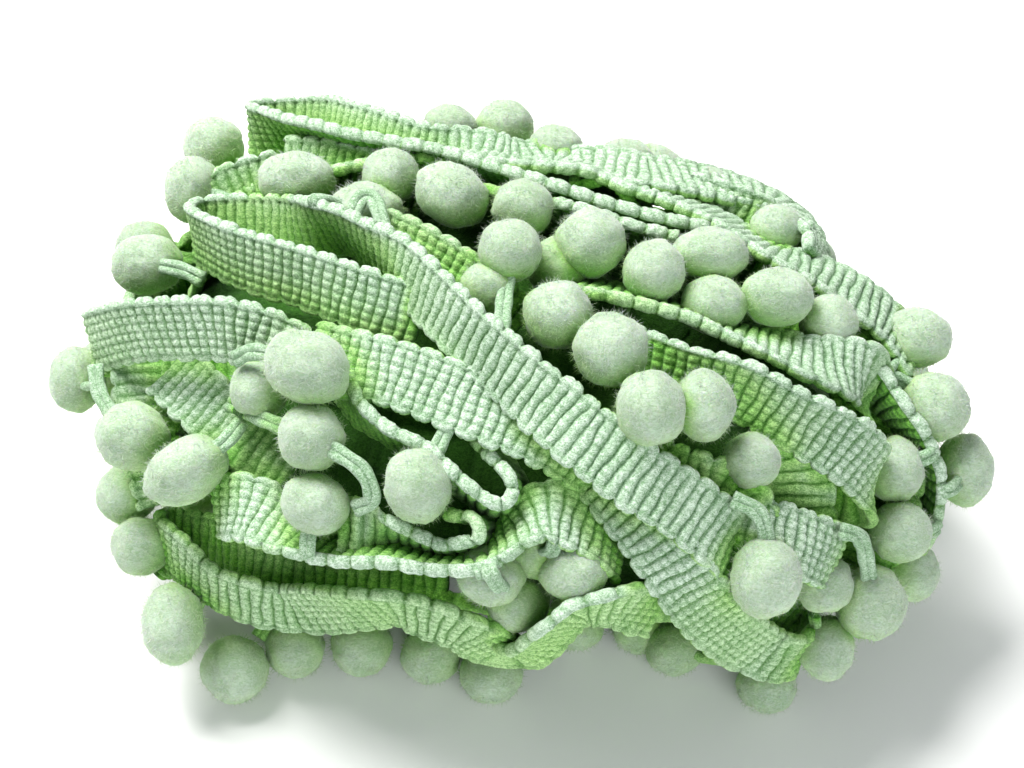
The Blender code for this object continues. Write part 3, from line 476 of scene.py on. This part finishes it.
def eased(value, low, high):
    """A smooth step from 0 at low to 1 at high."""
    t = np.clip((value - low) / (high - low), 0.0, 1.0)
    return t * t * (3.0 - 2.0 * t)


def slow_sway(count, waves, seed):
    """A slow, smooth sway along a run, between about -1 and 1."""
    return np.array([noise.noise(Vector((waves * i / count, seed * 7.3, 0.5))) * 2
                     for i in range(count)])


def tape_places(lay, grid_side, rib_samples, row_samples, seed, folded):
    """Where the tape's skin lies: along its length and once around its section."""
    line, wide, face = lay
    ribs = np.arange(len(line)) / rib_samples
    length = len(line) / rib_samples * RIB_PITCH
    fine = np.linspace(-ROWED_HALF, ROWED_HALF, 6 * row_samples + 1)
    plain = np.linspace(ROWED_HALF, -ROWED_HALF, 13 if row_samples > 3 else 7)
    rib = arch(ribs)[:, None]
    lobes = {1: arch(ribs / 2, 2.0)[:, None], -1: arch((ribs + 1) / 2, 2.0)[:, None]}
    rng = np.random.default_rng(seed)
    for side in lobes:
        sizes = 1.0 + LOBE_UNEVENNESS * rng.standard_normal(len(line) // (2 * rib_samples) + 2)
        shift = 0 if side > 0 else rib_samples
        which = (np.arange(len(line)) + shift) // (2 * rib_samples)
        lobes[side] = lobes[side] * sizes[np.clip(which, 0, len(sizes) - 1)][:, None]

    across = []
    height = []
    # The ridge values built here are painted into the colour: painted shade in the grooves between
    # ribs and rows, lighter on ridges and lobes.
    painted_ridge_light = []
    for stations, sign in ((fine, 1), (plain, -1)):
        x = np.broadcast_to(stations, (len(line), len(stations)))
        lobe = np.where(x > 0, lobes[1], lobes[-1])
        near_edge = eased(np.abs(x), TURNING_IN, ROWED_HALF + 0.2)
        ridge = (1.0 - near_edge) * rib + near_edge * (0.45 * rib * lobe + 0.6 * lobe)
        row = arch(x / ROW_PITCH)
        if sign > 0:
            ridge = ridge ** 0.8 * (0.55 + 0.45 * row)
        else:
            ridge = ridge * (1.0 - BEADING * (1.0 - row))
        across.append(x)
        height.append(sign * (VALLEY_HALF + (CREST_HALF - VALLEY_HALF) * ridge))
        painted_ridge_light.append(ridge)
        end = 1 if sign > 0 else -1
        edge = lobes[end]
        for angle in EDGE_ANGLES:
            turn = math.radians(angle) * sign
            strand = arch(ribs + TWIST * math.sin(turn))[:, None]
            plump = 0.55 * edge + 0.45 * strand
            tip = 0.3 + LOBE_REACH * (0.8 * edge + 0.2 * strand)
            across.append(end * (ROWED_HALF + tip * math.cos(turn)))
            height.append((DIP_HALF + (LOBE_HALF - DIP_HALF) * plump) * math.sin(turn))
            painted_ridge_light.append(0.25 + 0.75 * plump)
    across = np.hstack(across)
    height = np.hstack(height) * grid_side
    painted_ridge_light = np.hstack(painted_ridge_light)
    shade = tape_shade(lay, rib_samples, across, np.clip(height + 0.5, 0.0, 1.0))

    sway = slow_sway(len(line), length / SWAY_LONG, seed)[:, None]
    cup = CUPPING * slow_sway(len(line), length / CUP_LONG, seed + 40)[:, None]
    height = height + cup * (across / (TAPE_WIDE / 2)) ** 2
    if folded:
        height = height * np.where(ribs < FOLDED_RIBS, FOLDED_HEIGHT, 1.0)[:, None]
    height = height + rng.normal(0.0, YARN_ROUGHNESS, height.shape)
    across = across + EDGE_SWAY * sway + rng.normal(0.0, YARN_ROUGHNESS, across.shape)
    phase = rng.uniform(0.0, 2.0 * math.pi, 3)
    wander = (np.sin(1.9 * ribs[:, None] + 0.5 * across + phase[0])
              + np.sin(0.7 * ribs[:, None] - 0.8 * across + phase[1])
              + np.sin(3.1 * ribs[:, None] + 1.1 * across + phase[2]))
    along = np.cross(wide, face)
    places = (line[:, None] + wide[:, None] * across[..., None]
              + face[:, None] * height[..., None]
              + along[:, None] * (RIB_WANDER / 2 * wander)[..., None])
    return places, painted_ridge_light, shade


def rolled_skin(places, painted_ridge_light, shade):
    """A closed skin: a grid rolled round a section that goes along a run."""
    rows, stations = places.shape[:2]
    mesh = bmesh.new()
    bmesh.ops.create_grid(mesh, x_segments=rows - 1, y_segments=stations, size=1.0)
    flat = np.array([vert.co[:2] for vert in mesh.verts])
    row = np.rint((flat[:, 0] + 1.0) / 2.0 * (rows - 1)).astype(int)
    station = np.rint((flat[:, 1] + 1.0) / 2.0 * stations).astype(int)
    layers = [mesh.verts.layers.float.new(name) for name in ("painted_ridge_light", "shade")]
    spot = (row, station % stations)
    placed = places[spot] * MM
    for vert, place, *values in zip(mesh.verts, placed.tolist(), painted_ridge_light[spot].tolist(),
                                    shade[spot].tolist()):
        vert.co = place
        for layer, value in zip(layers, values):
            vert[layer] = value
    mesh.verts.ensure_lookup_table()
    seam = [mesh.verts[i] for i in np.flatnonzero((station == 0) | (station == stations))]
    bmesh.ops.remove_doubles(mesh, verts=seam, dist=1e-7)
    ends = [edge for edge in mesh.edges if edge.is_boundary]
    bmesh.ops.holes_fill(mesh, edges=ends, sides=0)
    bmesh.ops.recalc_face_normals(mesh, faces=mesh.faces)
    for face in mesh.faces:
        face.smooth = True
    return mesh


def finished_piece(name, mesh, material):
    """A smooth-shaded piece from a finished bmesh, which is freed."""
    data = bpy.data.meshes.new(name)
    mesh.to_mesh(data)
    mesh.free()
    data.materials.append(material)
    piece = bpy.data.objects.new(name, data)
    scene.collection.objects.link(piece)
    return piece


def set_inputs(node, values):
    """Sets some of a node's sockets by name."""
    for socket, value in values.items():
        node.inputs[socket].default_value = value


def stretched(nodes, links, value, low, high):
    """A value from low to high, stretched to run from 0 to 1."""
    spread = nodes.new("ShaderNodeMapRange")
    set_inputs(spread, {"From Min": low, "From Max": high})
    links.new(value, spread.inputs["Value"])
    return spread.outputs["Result"]


def weighted_sum(nodes, links, parts):
    """The sum of some values, each with its share."""
    total = None
    for value, share in parts:
        step = nodes.new("ShaderNodeMath")
        step.operation = "MULTIPLY_ADD"
        step.inputs[1].default_value = share
        step.inputs[2].default_value = 0.0
        links.new(value, step.inputs[0])
        if total is not None:
            links.new(total, step.inputs[2])
        total = step.outputs[0]
    return total


def curly(nodes, links, place, turn, scale, tangle):
    """Noise drawn out into fine curly strands that lie along one direction."""
    aim = nodes.new("ShaderNodeMapping")
    set_inputs(aim, {"Rotation": turn, "Scale": scale})
    links.new(place, aim.inputs["Vector"])
    noise_node = nodes.new("ShaderNodeTexNoise")
    set_inputs(noise_node, {"Scale": 1.0, "Detail": 3.0, "Roughness": 0.6,
                            "Distortion": tangle})
    links.new(aim.outputs["Vector"], noise_node.inputs["Vector"])
    return noise_node.outputs["Fac"]


def yarn_material(name, colours, tints, strand_scale, tangle, spread, shares, relief, sheen,
                  glow):
    """Soft spun yarn, with painted shade in its grooves and where it is sheltered, and a painted
    highlight on its ridges and fibres.
    """
    material = bpy.data.materials.new(name)
    material.use_nodes = True
    nodes = material.node_tree.nodes
    links = material.node_tree.links
    shader = nodes["Principled BSDF"]
    place = nodes.new("ShaderNodeTexCoord").outputs["Object"]

    one = curly(nodes, links, place, (0.0, 0.3, 0.0), strand_scale, tangle)
    other = curly(nodes, links, place, (1.2, 1.3, 0.9), strand_scale, tangle)
    higher = nodes.new("ShaderNodeMath")
    higher.operation = "MAXIMUM"
    links.new(one, higher.inputs[0])
    links.new(other, higher.inputs[1])
    grain = higher.outputs[0]
    patches = nodes.new("ShaderNodeTexNoise")
    set_inputs(patches, {"Scale": 140.0, "Detail": 2.0})
    links.new(place, patches.inputs["Vector"])
    painted_ridge_light = nodes.new("ShaderNodeAttribute")
    painted_ridge_light.attribute_name = "painted_ridge_light"
    total = weighted_sum(nodes, links, (
        (stretched(nodes, links, grain, *spread), shares[0]),
        (painted_ridge_light.outputs["Fac"], shares[1]),
        (stretched(nodes, links, patches.outputs["Fac"], 0.35, 0.65), shares[2])))
    tone = nodes.new("ShaderNodeValToRGB")
    tone.color_ramp.elements.new(0.5)
    for element, colour in zip(tone.color_ramp.elements, colours):
        element.color = colour
    links.new(total, tone.inputs["Fac"])

    # Painted shade: yarn that the hank shelters is given a darker, greener colour, standing in for
    # shade and for light that has passed through other yarn.
    shade = nodes.new("ShaderNodeAttribute")
    shade.attribute_name = "shade"
    green = nodes.new("ShaderNodeValToRGB")
    green.color_ramp.elements.new(0.5)
    green.color_ramp.elements.new(0.9)
    for element, (stop, colour) in zip(green.color_ramp.elements, tints):
        element.position = stop
        element.color = colour
    links.new(shade.outputs["Fac"], green.inputs["Fac"])
    tint = nodes.new("ShaderNodeMix")
    tint.data_type = "RGBA"
    tint.blend_type = "MULTIPLY"
    tint.inputs["Factor"].default_value = 1.0
    links.new(green.outputs["Color"], tint.inputs["B"])
    links.new(tone.outputs["Color"], tint.inputs["A"])
    links.new(tint.outputs["Result"], shader.inputs["Base Color"])

    bump = nodes.new("ShaderNodeBump")
    set_inputs(bump, {"Strength": 1.0, "Distance": relief})
    links.new(grain, bump.inputs["Height"])
    links.new(bump.outputs["Normal"], shader.inputs["Normal"])
    set_inputs(shader, {
        "Roughness": 0.95, "Specular IOR Level": 0.1,
        "Sheen Weight": sheen, "Sheen Roughness": 0.4, "Sheen Tint": (0.95, 1.0, 0.95, 1.0),
        "Subsurface Weight": glow, "Subsurface Radius": (0.4, 1.0, 0.15),
        "Subsurface Scale": 0.003})
    return material


tape_yarn = yarn_material(
    "mint_tape_yarn",
    ((0.04, 0.14, 0.025, 1), (0.28, 0.45, 0.26, 1), (0.76, 0.88, 0.75, 1)),
    ((0.22, (1.0, 1.0, 1.0, 1)), (0.48, (0.74, 0.95, 0.44, 1)),
     (0.78, (0.43, 0.84, 0.15, 1)), (0.97, (0.10, 0.24, 0.04, 1))),
    strand_scale=(1900.0, 2800.0, 2800.0), tangle=1.2, spread=(0.45, 0.63),
    shares=(0.46, 0.46, 0.10), relief=0.0004, sheen=0.15, glow=0.0)

# Short turns of the same tape that lie deeper in the hank. They show only through gaps in
# the outer ones, they carry no pompoms, and they are placed as they are seen.
INNER_TURNS = {
    "inner_right": ((64, 11, -15, -66, 0), (69, 0, -14, -72, 0), (71.5, -11, -14, -87, 0),
                    (70.5, -22, -14, -100, 0), (66, -33, -14, -115, 0), (60, -42, -15, -125, 0)),
    "inner_top": ((32, 34.5, -12, -15, 0), (40, 32, -11, -20, 0), (47, 29, -11, -28, 0),
                  (54, 24.5, -12, -40, 0)),
    "inner_middle": ((44, 19, -12, -20, 0), (52, 15.5, -12, -25, 0), (60, 11, -12, -35, 0),
                     (66, 5, -13, -45, 0)),
    "inner_fold": ((-43, 41, -14, 0, 0), (-34, 40, -13, -8, 0), (-25, 38, -12, -14, 0),
                   (-16, 35.5, -12, -16, 0)),
    "inner_hollow": ((-64, 3, -12, -42, 0), (-57, -4, -11, -44, 0), (-49, -11, -11, -40, 0),
                     (-41, -16.5, -11, -34, 0)),
    "inner_corner": ((-57, 33, -14, 25, 0), (-51, 36.5, -14, 18, 0), (-43, 38.5, -14, 5, 0)),
    "inner_left": ((-69, 6, -13, -95, 0), (-69, -4, -12, -85, 0), (-67.5, -13, -12, -75, 0),
                   (-64.5, -22, -12, -65, 0)),
}

# How finely a run is made: samples to each rib, and to each row of chain stitches.
FINE_DETAIL = (5, 4)
PLAIN_DETAIL = (3, 2)

lays = {}
details = {}
for name in [*SEEN_RUNS, *BACK_RUNS, *INNER_TURNS]:
    details[name] = FINE_DETAIL if name in SEEN_RUNS else PLAIN_DETAIL
    if name not in BACK_RUNS:
        rows = SEEN_RUNS[name] if name in SEEN_RUNS else INNER_TURNS[name]
        stations = [Station(*row) for row in rows]
        centres = [seen(s.across, s.up, form_depth(s.across, s.up) + s.lift) for s in stations]
        widths = [seen_width(s.turn, s.lean) for s in stations]
    else:
        stations = [BackStation(*row) for row in BACK_RUNS[name]]
        centres = [around(s.bearing, s.height, s.lift) for s in stations]
        widths = [back_width(s.bearing, s.height, s.lean) for s in stations]
    lays[name] = tape_lay(centres, widths, details[name][0])

# How sheltered each place is: rays go out from it to a rough copy of the hank. The soft
# light comes from above, so the open sky counts for more than the pale table below.
# These shelter values are painted into the yarn's colour as painted shade.
CORE_HALF = np.array([66.0, 39.0, 31.0])
CORE_MIDDLE = np.array([0.65, 0.7, 31.5])
RAY_COUNT = 72
RAY_REACH = 70.0
TABLE_LIGHT = 0.3
GRAZING = 0.12
STRIP_HALF = 5.5
STRIP_STEP = 5
CORE_INSET = 4.0
BALL_COVER = 0.95
LANE = 4.5
SKIN_LIFT = 1.6
RIM_LIFT = 0.8
RIM_FADE = 0.4


def round_directions(subdivisions):
    """The corners and faces of a unit icosphere."""
    mesh = bmesh.new()
    bmesh.ops.create_icosphere(mesh, subdivisions=subdivisions, radius=1.0)
    corners = np.array([vert.co for vert in mesh.verts])
    faces = [[vert.index for vert in face.verts] for face in mesh.faces]
    mesh.free()
    return corners, faces


def turned_core(places):
    """Places of the hank's middle, turned to where it lies."""
    c = math.cos(FORM_YAW)
    s = math.sin(FORM_YAW)
    x, y, z = places.T
    return np.stack([c * x - s * y, s * x + c * y, z], axis=1) + CORE_MIDDLE


def rough_hank():
    """Plain strips for the tape, balls for the pompoms and an egg for the middle."""
    corners = []
    faces = []
    for line, wide, _ in lays.values():
        reach = STRIP_HALF * wide[::STRIP_STEP]
        rims = np.stack([line[::STRIP_STEP] - reach, line[::STRIP_STEP] + reach], axis=1)
        first = len(corners)
        corners.extend(rims.reshape(-1, 3).tolist())
        for row in range(first, first + 2 * len(rims) - 2, 2):
            faces.append([row, row + 1, row + 3, row + 2])
    unit, unit_faces = round_directions(2)
    rounds = [ball[0] + unit @ np.array(ball[1:]) * BALL_COVER
              for balls in all_balls().values() for ball in balls]
    rounds.append(turned_core(unit * (CORE_HALF - CORE_INSET)))
    for places in rounds:
        first = len(corners)
        corners.extend(places.tolist())
        faces.extend([first + index for index in face] for face in unit_faces)
    return BVHTree.FromPolygons(corners, faces)


def even_directions(count):
    """Directions spread evenly over a sphere."""
    height = 1.0 - (np.arange(count) + 0.5) * 2.0 / count
    bearing = np.arange(count) * math.pi * (1.0 + math.sqrt(5.0))
    flat = np.sqrt(1.0 - height ** 2)
    return np.stack([flat * np.cos(bearing), flat * np.sin(bearing), height], axis=1)


hank_cover = rough_hank()
ray_ways = even_directions(RAY_COUNT)
ray_light = TABLE_LIGHT + (1.0 - TABLE_LIGHT) * np.clip(ray_ways[:, 2] * 2.0 + 0.5, 0.0, 1.0)


def shelter(places, normals):
    """How much the hank hides each place from the light, from 0 to 1."""
    facing = normals @ ray_ways.T
    hidden = np.ones(len(places))
    for index, place in enumerate(places):
        start = Vector(place)
        open_share = 0.0
        total = 0.0
        for ray in np.flatnonzero(facing[index] > GRAZING):
            weight = facing[index, ray]
            total += weight
            hit = hank_cover.ray_cast(start, Vector(ray_ways[ray]), RAY_REACH)[0]
            if hit is None:
                open_share += weight * ray_light[ray]
        hidden[index] = 1.0 - open_share / total
    return hidden


def tape_shade(lay, rib_samples, across, up_share):
    """How sheltered a run's skin is, at each row and station of it."""
    line, wide, face = (part[::2 * rib_samples] for part in lay)
    rows = np.arange(len(lay[0])) / (2 * rib_samples)
    lanes = np.array([-LANE, 0.0, LANE])
    sides = {}
    for side in (1, -1):
        found = np.stack([shelter(line + wide * lane + face * side * SKIN_LIFT, face * side)
                          for lane in lanes], axis=1)
        along = resampled(found, np.arange(len(line)), rows)
        place = np.clip(across / LANE, -1.0, 1.0) + 1.0
        lower = np.minimum(place.astype(int), 1)
        share = place - lower
        take = np.arange(len(rows))[:, None]
        sides[side] = along[take, lower] * (1.0 - share) + along[take, lower + 1] * share
    middle = sides[1] * up_share + sides[-1] * (1.0 - up_share)
    for edge in (1, -1):
        found = shelter(line + wide * edge * (TAPE_WIDE / 2 + RIM_LIFT), wide * edge)
        rim = np.interp(rows, np.arange(len(line)), found)[:, None]
        nearness = eased(across * edge, ROWED_HALF - RIM_FADE, TAPE_WIDE / 2 - RIM_FADE)
        middle = middle + (np.minimum(rim, middle) - middle) * nearness
    return middle


tape_pieces = {}
for seed, (name, lay) in enumerate(lays.items()):
    rib_samples, row_samples = details[name]
    length = float(np.sum(np.linalg.norm(np.diff(lay[0], axis=0), axis=1)))
    places, painted_ridge_light, shade = tape_places(lay, GRID_SIDE[name], rib_samples, row_samples, seed,
                                       name == FOLDED_END)
    if name == FOLDED_END:
        length += FOLDED_RIBS * RIB_PITCH
    tape = finished_piece("tape_" + name, rolled_skin(places, painted_ridge_light, shade), tape_yarn)
    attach(tape, "root")
    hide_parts("wound_tape")
    tape_pieces[name] = tape

# The hidden turns in the middle of the hank: the same tape, packed tight. They show only as
# edges and ribs in the gaps between the outer runs, with painted shade that makes them dark.
CORE_TURNS = 16
TURN_STEP = 4.0
PACK_LONG = 175.0
RISING = 0.9
FALLING = 0.1
RIB_RISE = 0.5


def packed_turns():
    """An egg-shaped pack of tape turns that run lengthwise and overlap like shingles."""
    mesh = bmesh.new()
    bmesh.ops.create_uvsphere(mesh, u_segments=CORE_TURNS * 8, v_segments=180, radius=1.0,
                              matrix=Matrix.Rotation(math.pi / 2, 4, "Y"))
    flat = np.array([vert.co for vert in mesh.verts])
    turn = np.arctan2(flat[:, 2], flat[:, 1]) / (2 * math.pi) * CORE_TURNS
    along = np.arcsin(np.clip(flat[:, 0], -1, 1)) / math.pi * PACK_LONG
    share = turn % 1.0
    lobe = arch(along / RIB_PITCH / 2)
    rib = arch(along / RIB_PITCH)
    rise = np.where(share > RISING, (1.0 - share) / FALLING, share / RISING)
    rise = rise * TURN_STEP * (0.8 + 0.2 * lobe) + RIB_RISE * rib
    fade = 1.0 - flat[:, 0] ** 6
    sunk = (rise - TURN_STEP - RIB_RISE) * fade
    turned = turned_core(flat * (CORE_HALF + sunk[:, None]))
    turned[:, 2] = np.maximum(turned[:, 2], 0.0)
    painted_ridge_light = mesh.verts.layers.float.new("painted_ridge_light")
    shade = mesh.verts.layers.float.new("shade")
    for vert, co, value in zip(mesh.verts, (turned * MM).tolist(), rib.tolist()):
        vert.co = co
        # Painted shade: the pack is given full shelter and half the ridge light, which paints it
        # dark green.
        vert[painted_ridge_light] = value * 0.5
        vert[shade] = 1.0
    bmesh.ops.recalc_face_normals(mesh, faces=mesh.faces)
    for face in mesh.faces:
        face.smooth = True
    return mesh


packed = finished_piece("packed_turns", packed_turns(), tape_yarn)
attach(packed, "root")
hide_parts("wound_tape")

# The pompoms: tufts of soft short fibres, brushed round, 11 to 16 mm across. Each hangs on
# a loop of the tape's own yarn, two cords side by side, that leaves the tape at its edge.
BALL_STYLES = 5
BALL_HALF = 6.5
FIBRES = 840
FIBRE_LONG = 1.6
FIBRE_THICK = 0.05
FIBRE_LEAN = 0.9
FIBRE_ROOT = 0.91
FLOOR_GAP = 0.0001
CORD_THICK = 1.7
CORD_SIDES = 8
CORD_STEP = 0.7
CORD_APART = 0.38
CORD_TWIST = 0.9
STEM_BEND = 0.45
STEM_END = 0.85


def fluffy_ball(seed):
    """A lumpy ball of unit radius with short fibres standing out of it."""
    rng = np.random.default_rng(seed)
    mesh = bmesh.new()
    layer = mesh.verts.layers.float.new("painted_ridge_light")
    mesh.verts.layers.float.new("shade")
    bmesh.ops.create_icosphere(mesh, subdivisions=4, radius=1.0)
    for vert in mesh.verts:
        vert[layer] = 0.7
        spot = vert.co.normalized()
        lump = noise.noise(spot * 1.6 + Vector((seed, 0, 0)))
        clump = noise.noise(spot * 4.5 + Vector((0, seed, 0)))
        vert.co = spot * (0.93 + 0.08 * lump + 0.04 * clump)
    for face in mesh.faces:
        face.smooth = True
    for _ in range(FIBRES):
        out = Vector(rng.standard_normal(3)).normalized()
        lean = Vector(rng.standard_normal(3)) * FIBRE_LEAN
        way = (out + lean).normalized()
        size = FIBRE_LONG / BALL_HALF * rng.uniform(0.5, 1.0)
        thick = FIBRE_THICK / BALL_HALF * rng.uniform(0.7, 1.2)
        place = (Matrix.Translation(out * FIBRE_ROOT + way * size / 2)
                 @ way.to_track_quat("Z", "Y").to_matrix().to_4x4())
        fibre = bmesh.ops.create_cone(mesh, cap_ends=True, segments=3, radius1=thick,
                                      radius2=0.0, depth=size, matrix=place)
        # Painted highlight: the fibres are given a paler colour than the ball's body.
        for vert in fibre["verts"]:
            vert[layer] = 0.95
    data = bpy.data.meshes.new("fluffy_ball")
    mesh.to_mesh(data)
    mesh.free()
    return data


def nearest_edge(lay, edge, place):
    """Where along a run's edge it comes nearest to a place, and that edge."""
    line, wide, _ = lay
    rim = line + wide * edge * (TAPE_WIDE / 2 - 1.0)
    return int(np.argmin(np.linalg.norm(rim - place, axis=1))), rim


def cord_skins(path, side):
    """The skins of two cords that lie side by side along a path."""
    tangent = unit_rows(np.gradient(path, axis=0))
    first = square_to(tangent, side)
    second = np.cross(tangent, first)
    angle = np.linspace(0, 2 * math.pi, CORD_SIDES, endpoint=False)
    skins = []
    for hand in (-1, 1):
        twist = np.arange(len(path))[:, None] * CORD_TWIST * hand
        radius = CORD_THICK / 2 * (1.0 + 0.1 * np.cos(2 * angle[None] + twist))
        middle = path + first * hand * CORD_THICK * CORD_APART
        skins.append(middle[:, None] + radius[..., None] * (
            first[:, None] * np.cos(angle)[None, :, None]
            + second[:, None] * np.sin(angle)[None, :, None]))
    return skins


def hanging_stem(lay, edge, middle):
    """The skins of the pair of cords that hold a pompom from the nearest edge."""
    index, rim = nearest_edge(lay, edge, middle)
    before, after = rim[max(index - 4, 0)], rim[min(index + 4, len(rim) - 1)]
    start = rim[index]
    distance = np.linalg.norm(middle - start)
    bend = start + lay[1][index] * edge * distance * STEM_BEND
    t = np.linspace(0.0, STEM_END, max(int(distance / CORD_STEP), 4))[:, None]
    path = start * (1 - t) ** 2 + bend * 2 * t * (1 - t) + middle * t ** 2
    return cord_skins(path, np.tile(after - before, (len(path), 1)))


def placed_stem(rows, end):
    """The skins of a pair of cords that go where they are seen, and on to an end."""
    points = [seen(across, up, form_depth(across, up) + lift) for across, up, lift in rows]
    if end is not None:
        points.append(end)
    curve = smooth_rows(points, 12)
    travelled = distance_along(curve)
    marks = np.linspace(0.0, travelled[-1], max(int(travelled[-1] / CORD_STEP), 4))
    path = resampled(curve, travelled, marks)
    return cord_skins(path, np.cross(np.gradient(path, axis=0), TOWARD))


# Stems that show plainly, each as the places it goes through on its way from the tape's
# edge to a pompom, and two that only loop out of the tape and back.
PLACED_STEMS = {
    ("main_loop", 0): ((-51, 33.5, -13), (-54, 34.6, -12), (-57, 35.6, -11)),
    ("main_loop", 1): ((-58, 19.5, -7), (-61, 21, -5), (-64.5, 22, -3)),
    ("main_loop", 3): ((-2.2, 7.0, 6), (-1.9, 10, 6.5), (-1.7, 13.5, 5.5), (-1.2, 18, 3.5)),
    ("main_loop", 4): ((41.3, -21.6, 4), (46, -24, 5), (47.8, -29, 4.5)),
    ("left_loop", 1): ((-78.2, 3.6, 0.5), (-77.6, -1, 0.5), (-75.5, -5, 0)),
    ("left_loop", 2): ((-49.5, -5.5, -8), (-53, -10, -4), (-56.5, -13, -1)),
    ("left_loop", 3): ((-52, 4.6, 3), (-49, 6, 5), (-45, 5.4, 6)),
    ("small_twist", 0): ((-29.4, -23.4, 1), (-26.3, -21.6, 2.5), (-27.9, -16.5, 4),
                         (-32.5, -13, 5)),
    ("right_lower", 0): ((61.7, -27.6, 1), (65.1, -28.7, 2), (66.5, -33, 1.5)),
}
LOOSE_LOOPS = {
    "main_loop": ((-29.6, 28.5, -1), (-29.6, 31.8, 3.5), (-28.3, 34.9, 5.5), (-26.2, 34.9, 5.5),
                  (-24.8, 31.8, 4), (-24.0, 28.0, 2)),
    "left_loop": ((-53, -3.6, -7), (-47.5, -6.2, -3), (-42, -8.6, 0)),
}

fluff = yarn_material(
    "mint_fluff",
    ((0.15, 0.26, 0.10, 1), (0.33, 0.43, 0.30, 1), (0.58, 0.67, 0.56, 1)),
    ((0.30, (1.0, 1.0, 1.0, 1)), (0.60, (0.84, 0.98, 0.64, 1)),
     (0.85, (0.52, 0.84, 0.24, 1)), (0.98, (0.15, 0.30, 0.06, 1))),
    strand_scale=(1000.0, 1700.0, 1700.0), tangle=1.5, spread=(0.42, 0.68),
    shares=(0.34, 0.46, 0.16), relief=0.0002, sheen=0.35, glow=0.4)
round_ways = round_directions(2)[0]


def ball_shade(ball, directions):
    """How sheltered a pompom is in each direction from its middle."""
    axes = np.array(ball[1:])
    sizes = np.linalg.norm(axes, axis=1)
    frame_axes = axes / sizes[:, None]
    normals = unit_rows((round_ways / sizes) @ frame_axes)
    found = shelter(ball[0] + round_ways @ axes * 1.1, normals)
    likeness = np.exp(14.0 * (directions @ round_ways.T - 1.0))
    return likeness @ found / likeness.sum(axis=1)


styles = [fluffy_ball(seed) for seed in range(BALL_STYLES)]

for seed, (name, balls) in enumerate(all_balls().items()):
    rng = np.random.default_rng(100 + seed)
    tufts = bmesh.new()
    for ball in balls:
        middle, side, deep, upright = (Vector(part) * MM for part in ball)
        spin = Euler(tuple(rng.uniform(0, 2 * math.pi, 3))).to_matrix().to_4x4()
        shape = Matrix((side, deep, upright)).transposed().to_4x4()
        start = len(tufts.verts)
        tufts.from_mesh(styles[int(rng.integers(BALL_STYLES))])
        tufts.verts.ensure_lookup_table()
        added = tufts.verts[start:]
        ways = unit_rows(np.array([vert.co for vert in added]) @ np.array(spin.to_3x3()).T)
        shade = tufts.verts.layers.float["shade"]
        for vert, value in zip(added, ball_shade(ball, ways).tolist()):
            vert[shade] = value
        bmesh.ops.transform(tufts, matrix=Matrix.Translation(middle) @ shape @ spin,
                            verts=added)
    for vert in tufts.verts:
        vert.co.z = max(vert.co.z, FLOOR_GAP)
    bmesh.ops.recalc_face_normals(tufts, faces=tufts.faces)
    pompoms = finished_piece("fluff_" + name, tufts, fluff)
    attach(pompoms, "root")
    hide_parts("pompoms_" + name)

    cords = bmesh.new()
    skins = placed_stem(LOOSE_LOOPS[name], None) if name in LOOSE_LOOPS else []
    for index, ball in enumerate(balls):
        if (name, index) in PLACED_STEMS:
            skins += placed_stem(PLACED_STEMS[name, index], ball[0])
        else:
            skins += hanging_stem(lays[name], FRINGED_EDGE[name], ball[0])
    for skin in skins:
        above = skin.mean(axis=1) + (SKYWARD + TOWARD) * CORD_THICK
        ways = np.tile((SKYWARD + TOWARD) / np.linalg.norm(SKYWARD + TOWARD), (len(skin), 1))
        sheltered = np.broadcast_to(shelter(above, ways)[:, None], skin.shape[:2])
        cord = rolled_skin(skin, np.full(skin.shape[:2], 0.6), sheltered)
        data = bpy.data.meshes.new("cord")
        cord.to_mesh(data)
        cord.free()
        cords.from_mesh(data)
        bpy.data.meshes.remove(data)
    loops = finished_piece("loops_" + name, cords, tape_yarn)
    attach(loops, "root")
    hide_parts("pompoms_" + name)
for data in styles:
    bpy.data.meshes.remove(data)

# The table it lies on, plain and pale, and soft studio light: a key from above and behind,
# and a weaker fill from in front.
floor_mesh = bmesh.new()
bmesh.ops.create_grid(floor_mesh, x_segments=1, y_segments=1, size=3.0)
floor_paint = bpy.data.materials.new("pale_floor")
floor_paint.use_nodes = True
floor_shader = floor_paint.node_tree.nodes["Principled BSDF"]
set_inputs(floor_shader, {"Base Color": (0.86, 0.86, 0.85, 1.0), "Roughness": 0.9})
floor = finished_piece("floor", floor_mesh, floor_paint)

world = bpy.data.worlds.new("studio")
scene.world = world
world.use_nodes = True
set_inputs(world.node_tree.nodes["Background"],
           {"Color": (0.95, 0.98, 1.0, 1.0), "Strength": 0.3})
scene.view_settings.view_transform = "Standard"


def soft_light(name, place, target, size, power, colour):
    """A square soft box that looks at a target."""
    data = bpy.data.lights.new(name, "AREA")
    data.size = size
    data.energy = power
    data.color = colour
    light = bpy.data.objects.new(name, data)
    light.location = place
    light.rotation_euler = (Vector(target) - Vector(place)).to_track_quat("-Z", "Y").to_euler()
    scene.collection.objects.link(light)


soft_light("key", (-0.28, 0.3, 0.75), (0, 0, 0.03), 0.45, 15.5, (1.0, 0.99, 0.98))
soft_light("fill", (0.2, -0.7, 0.35), (0, 0, 0.03), 0.5, 4.0, (0.93, 0.97, 1.0))
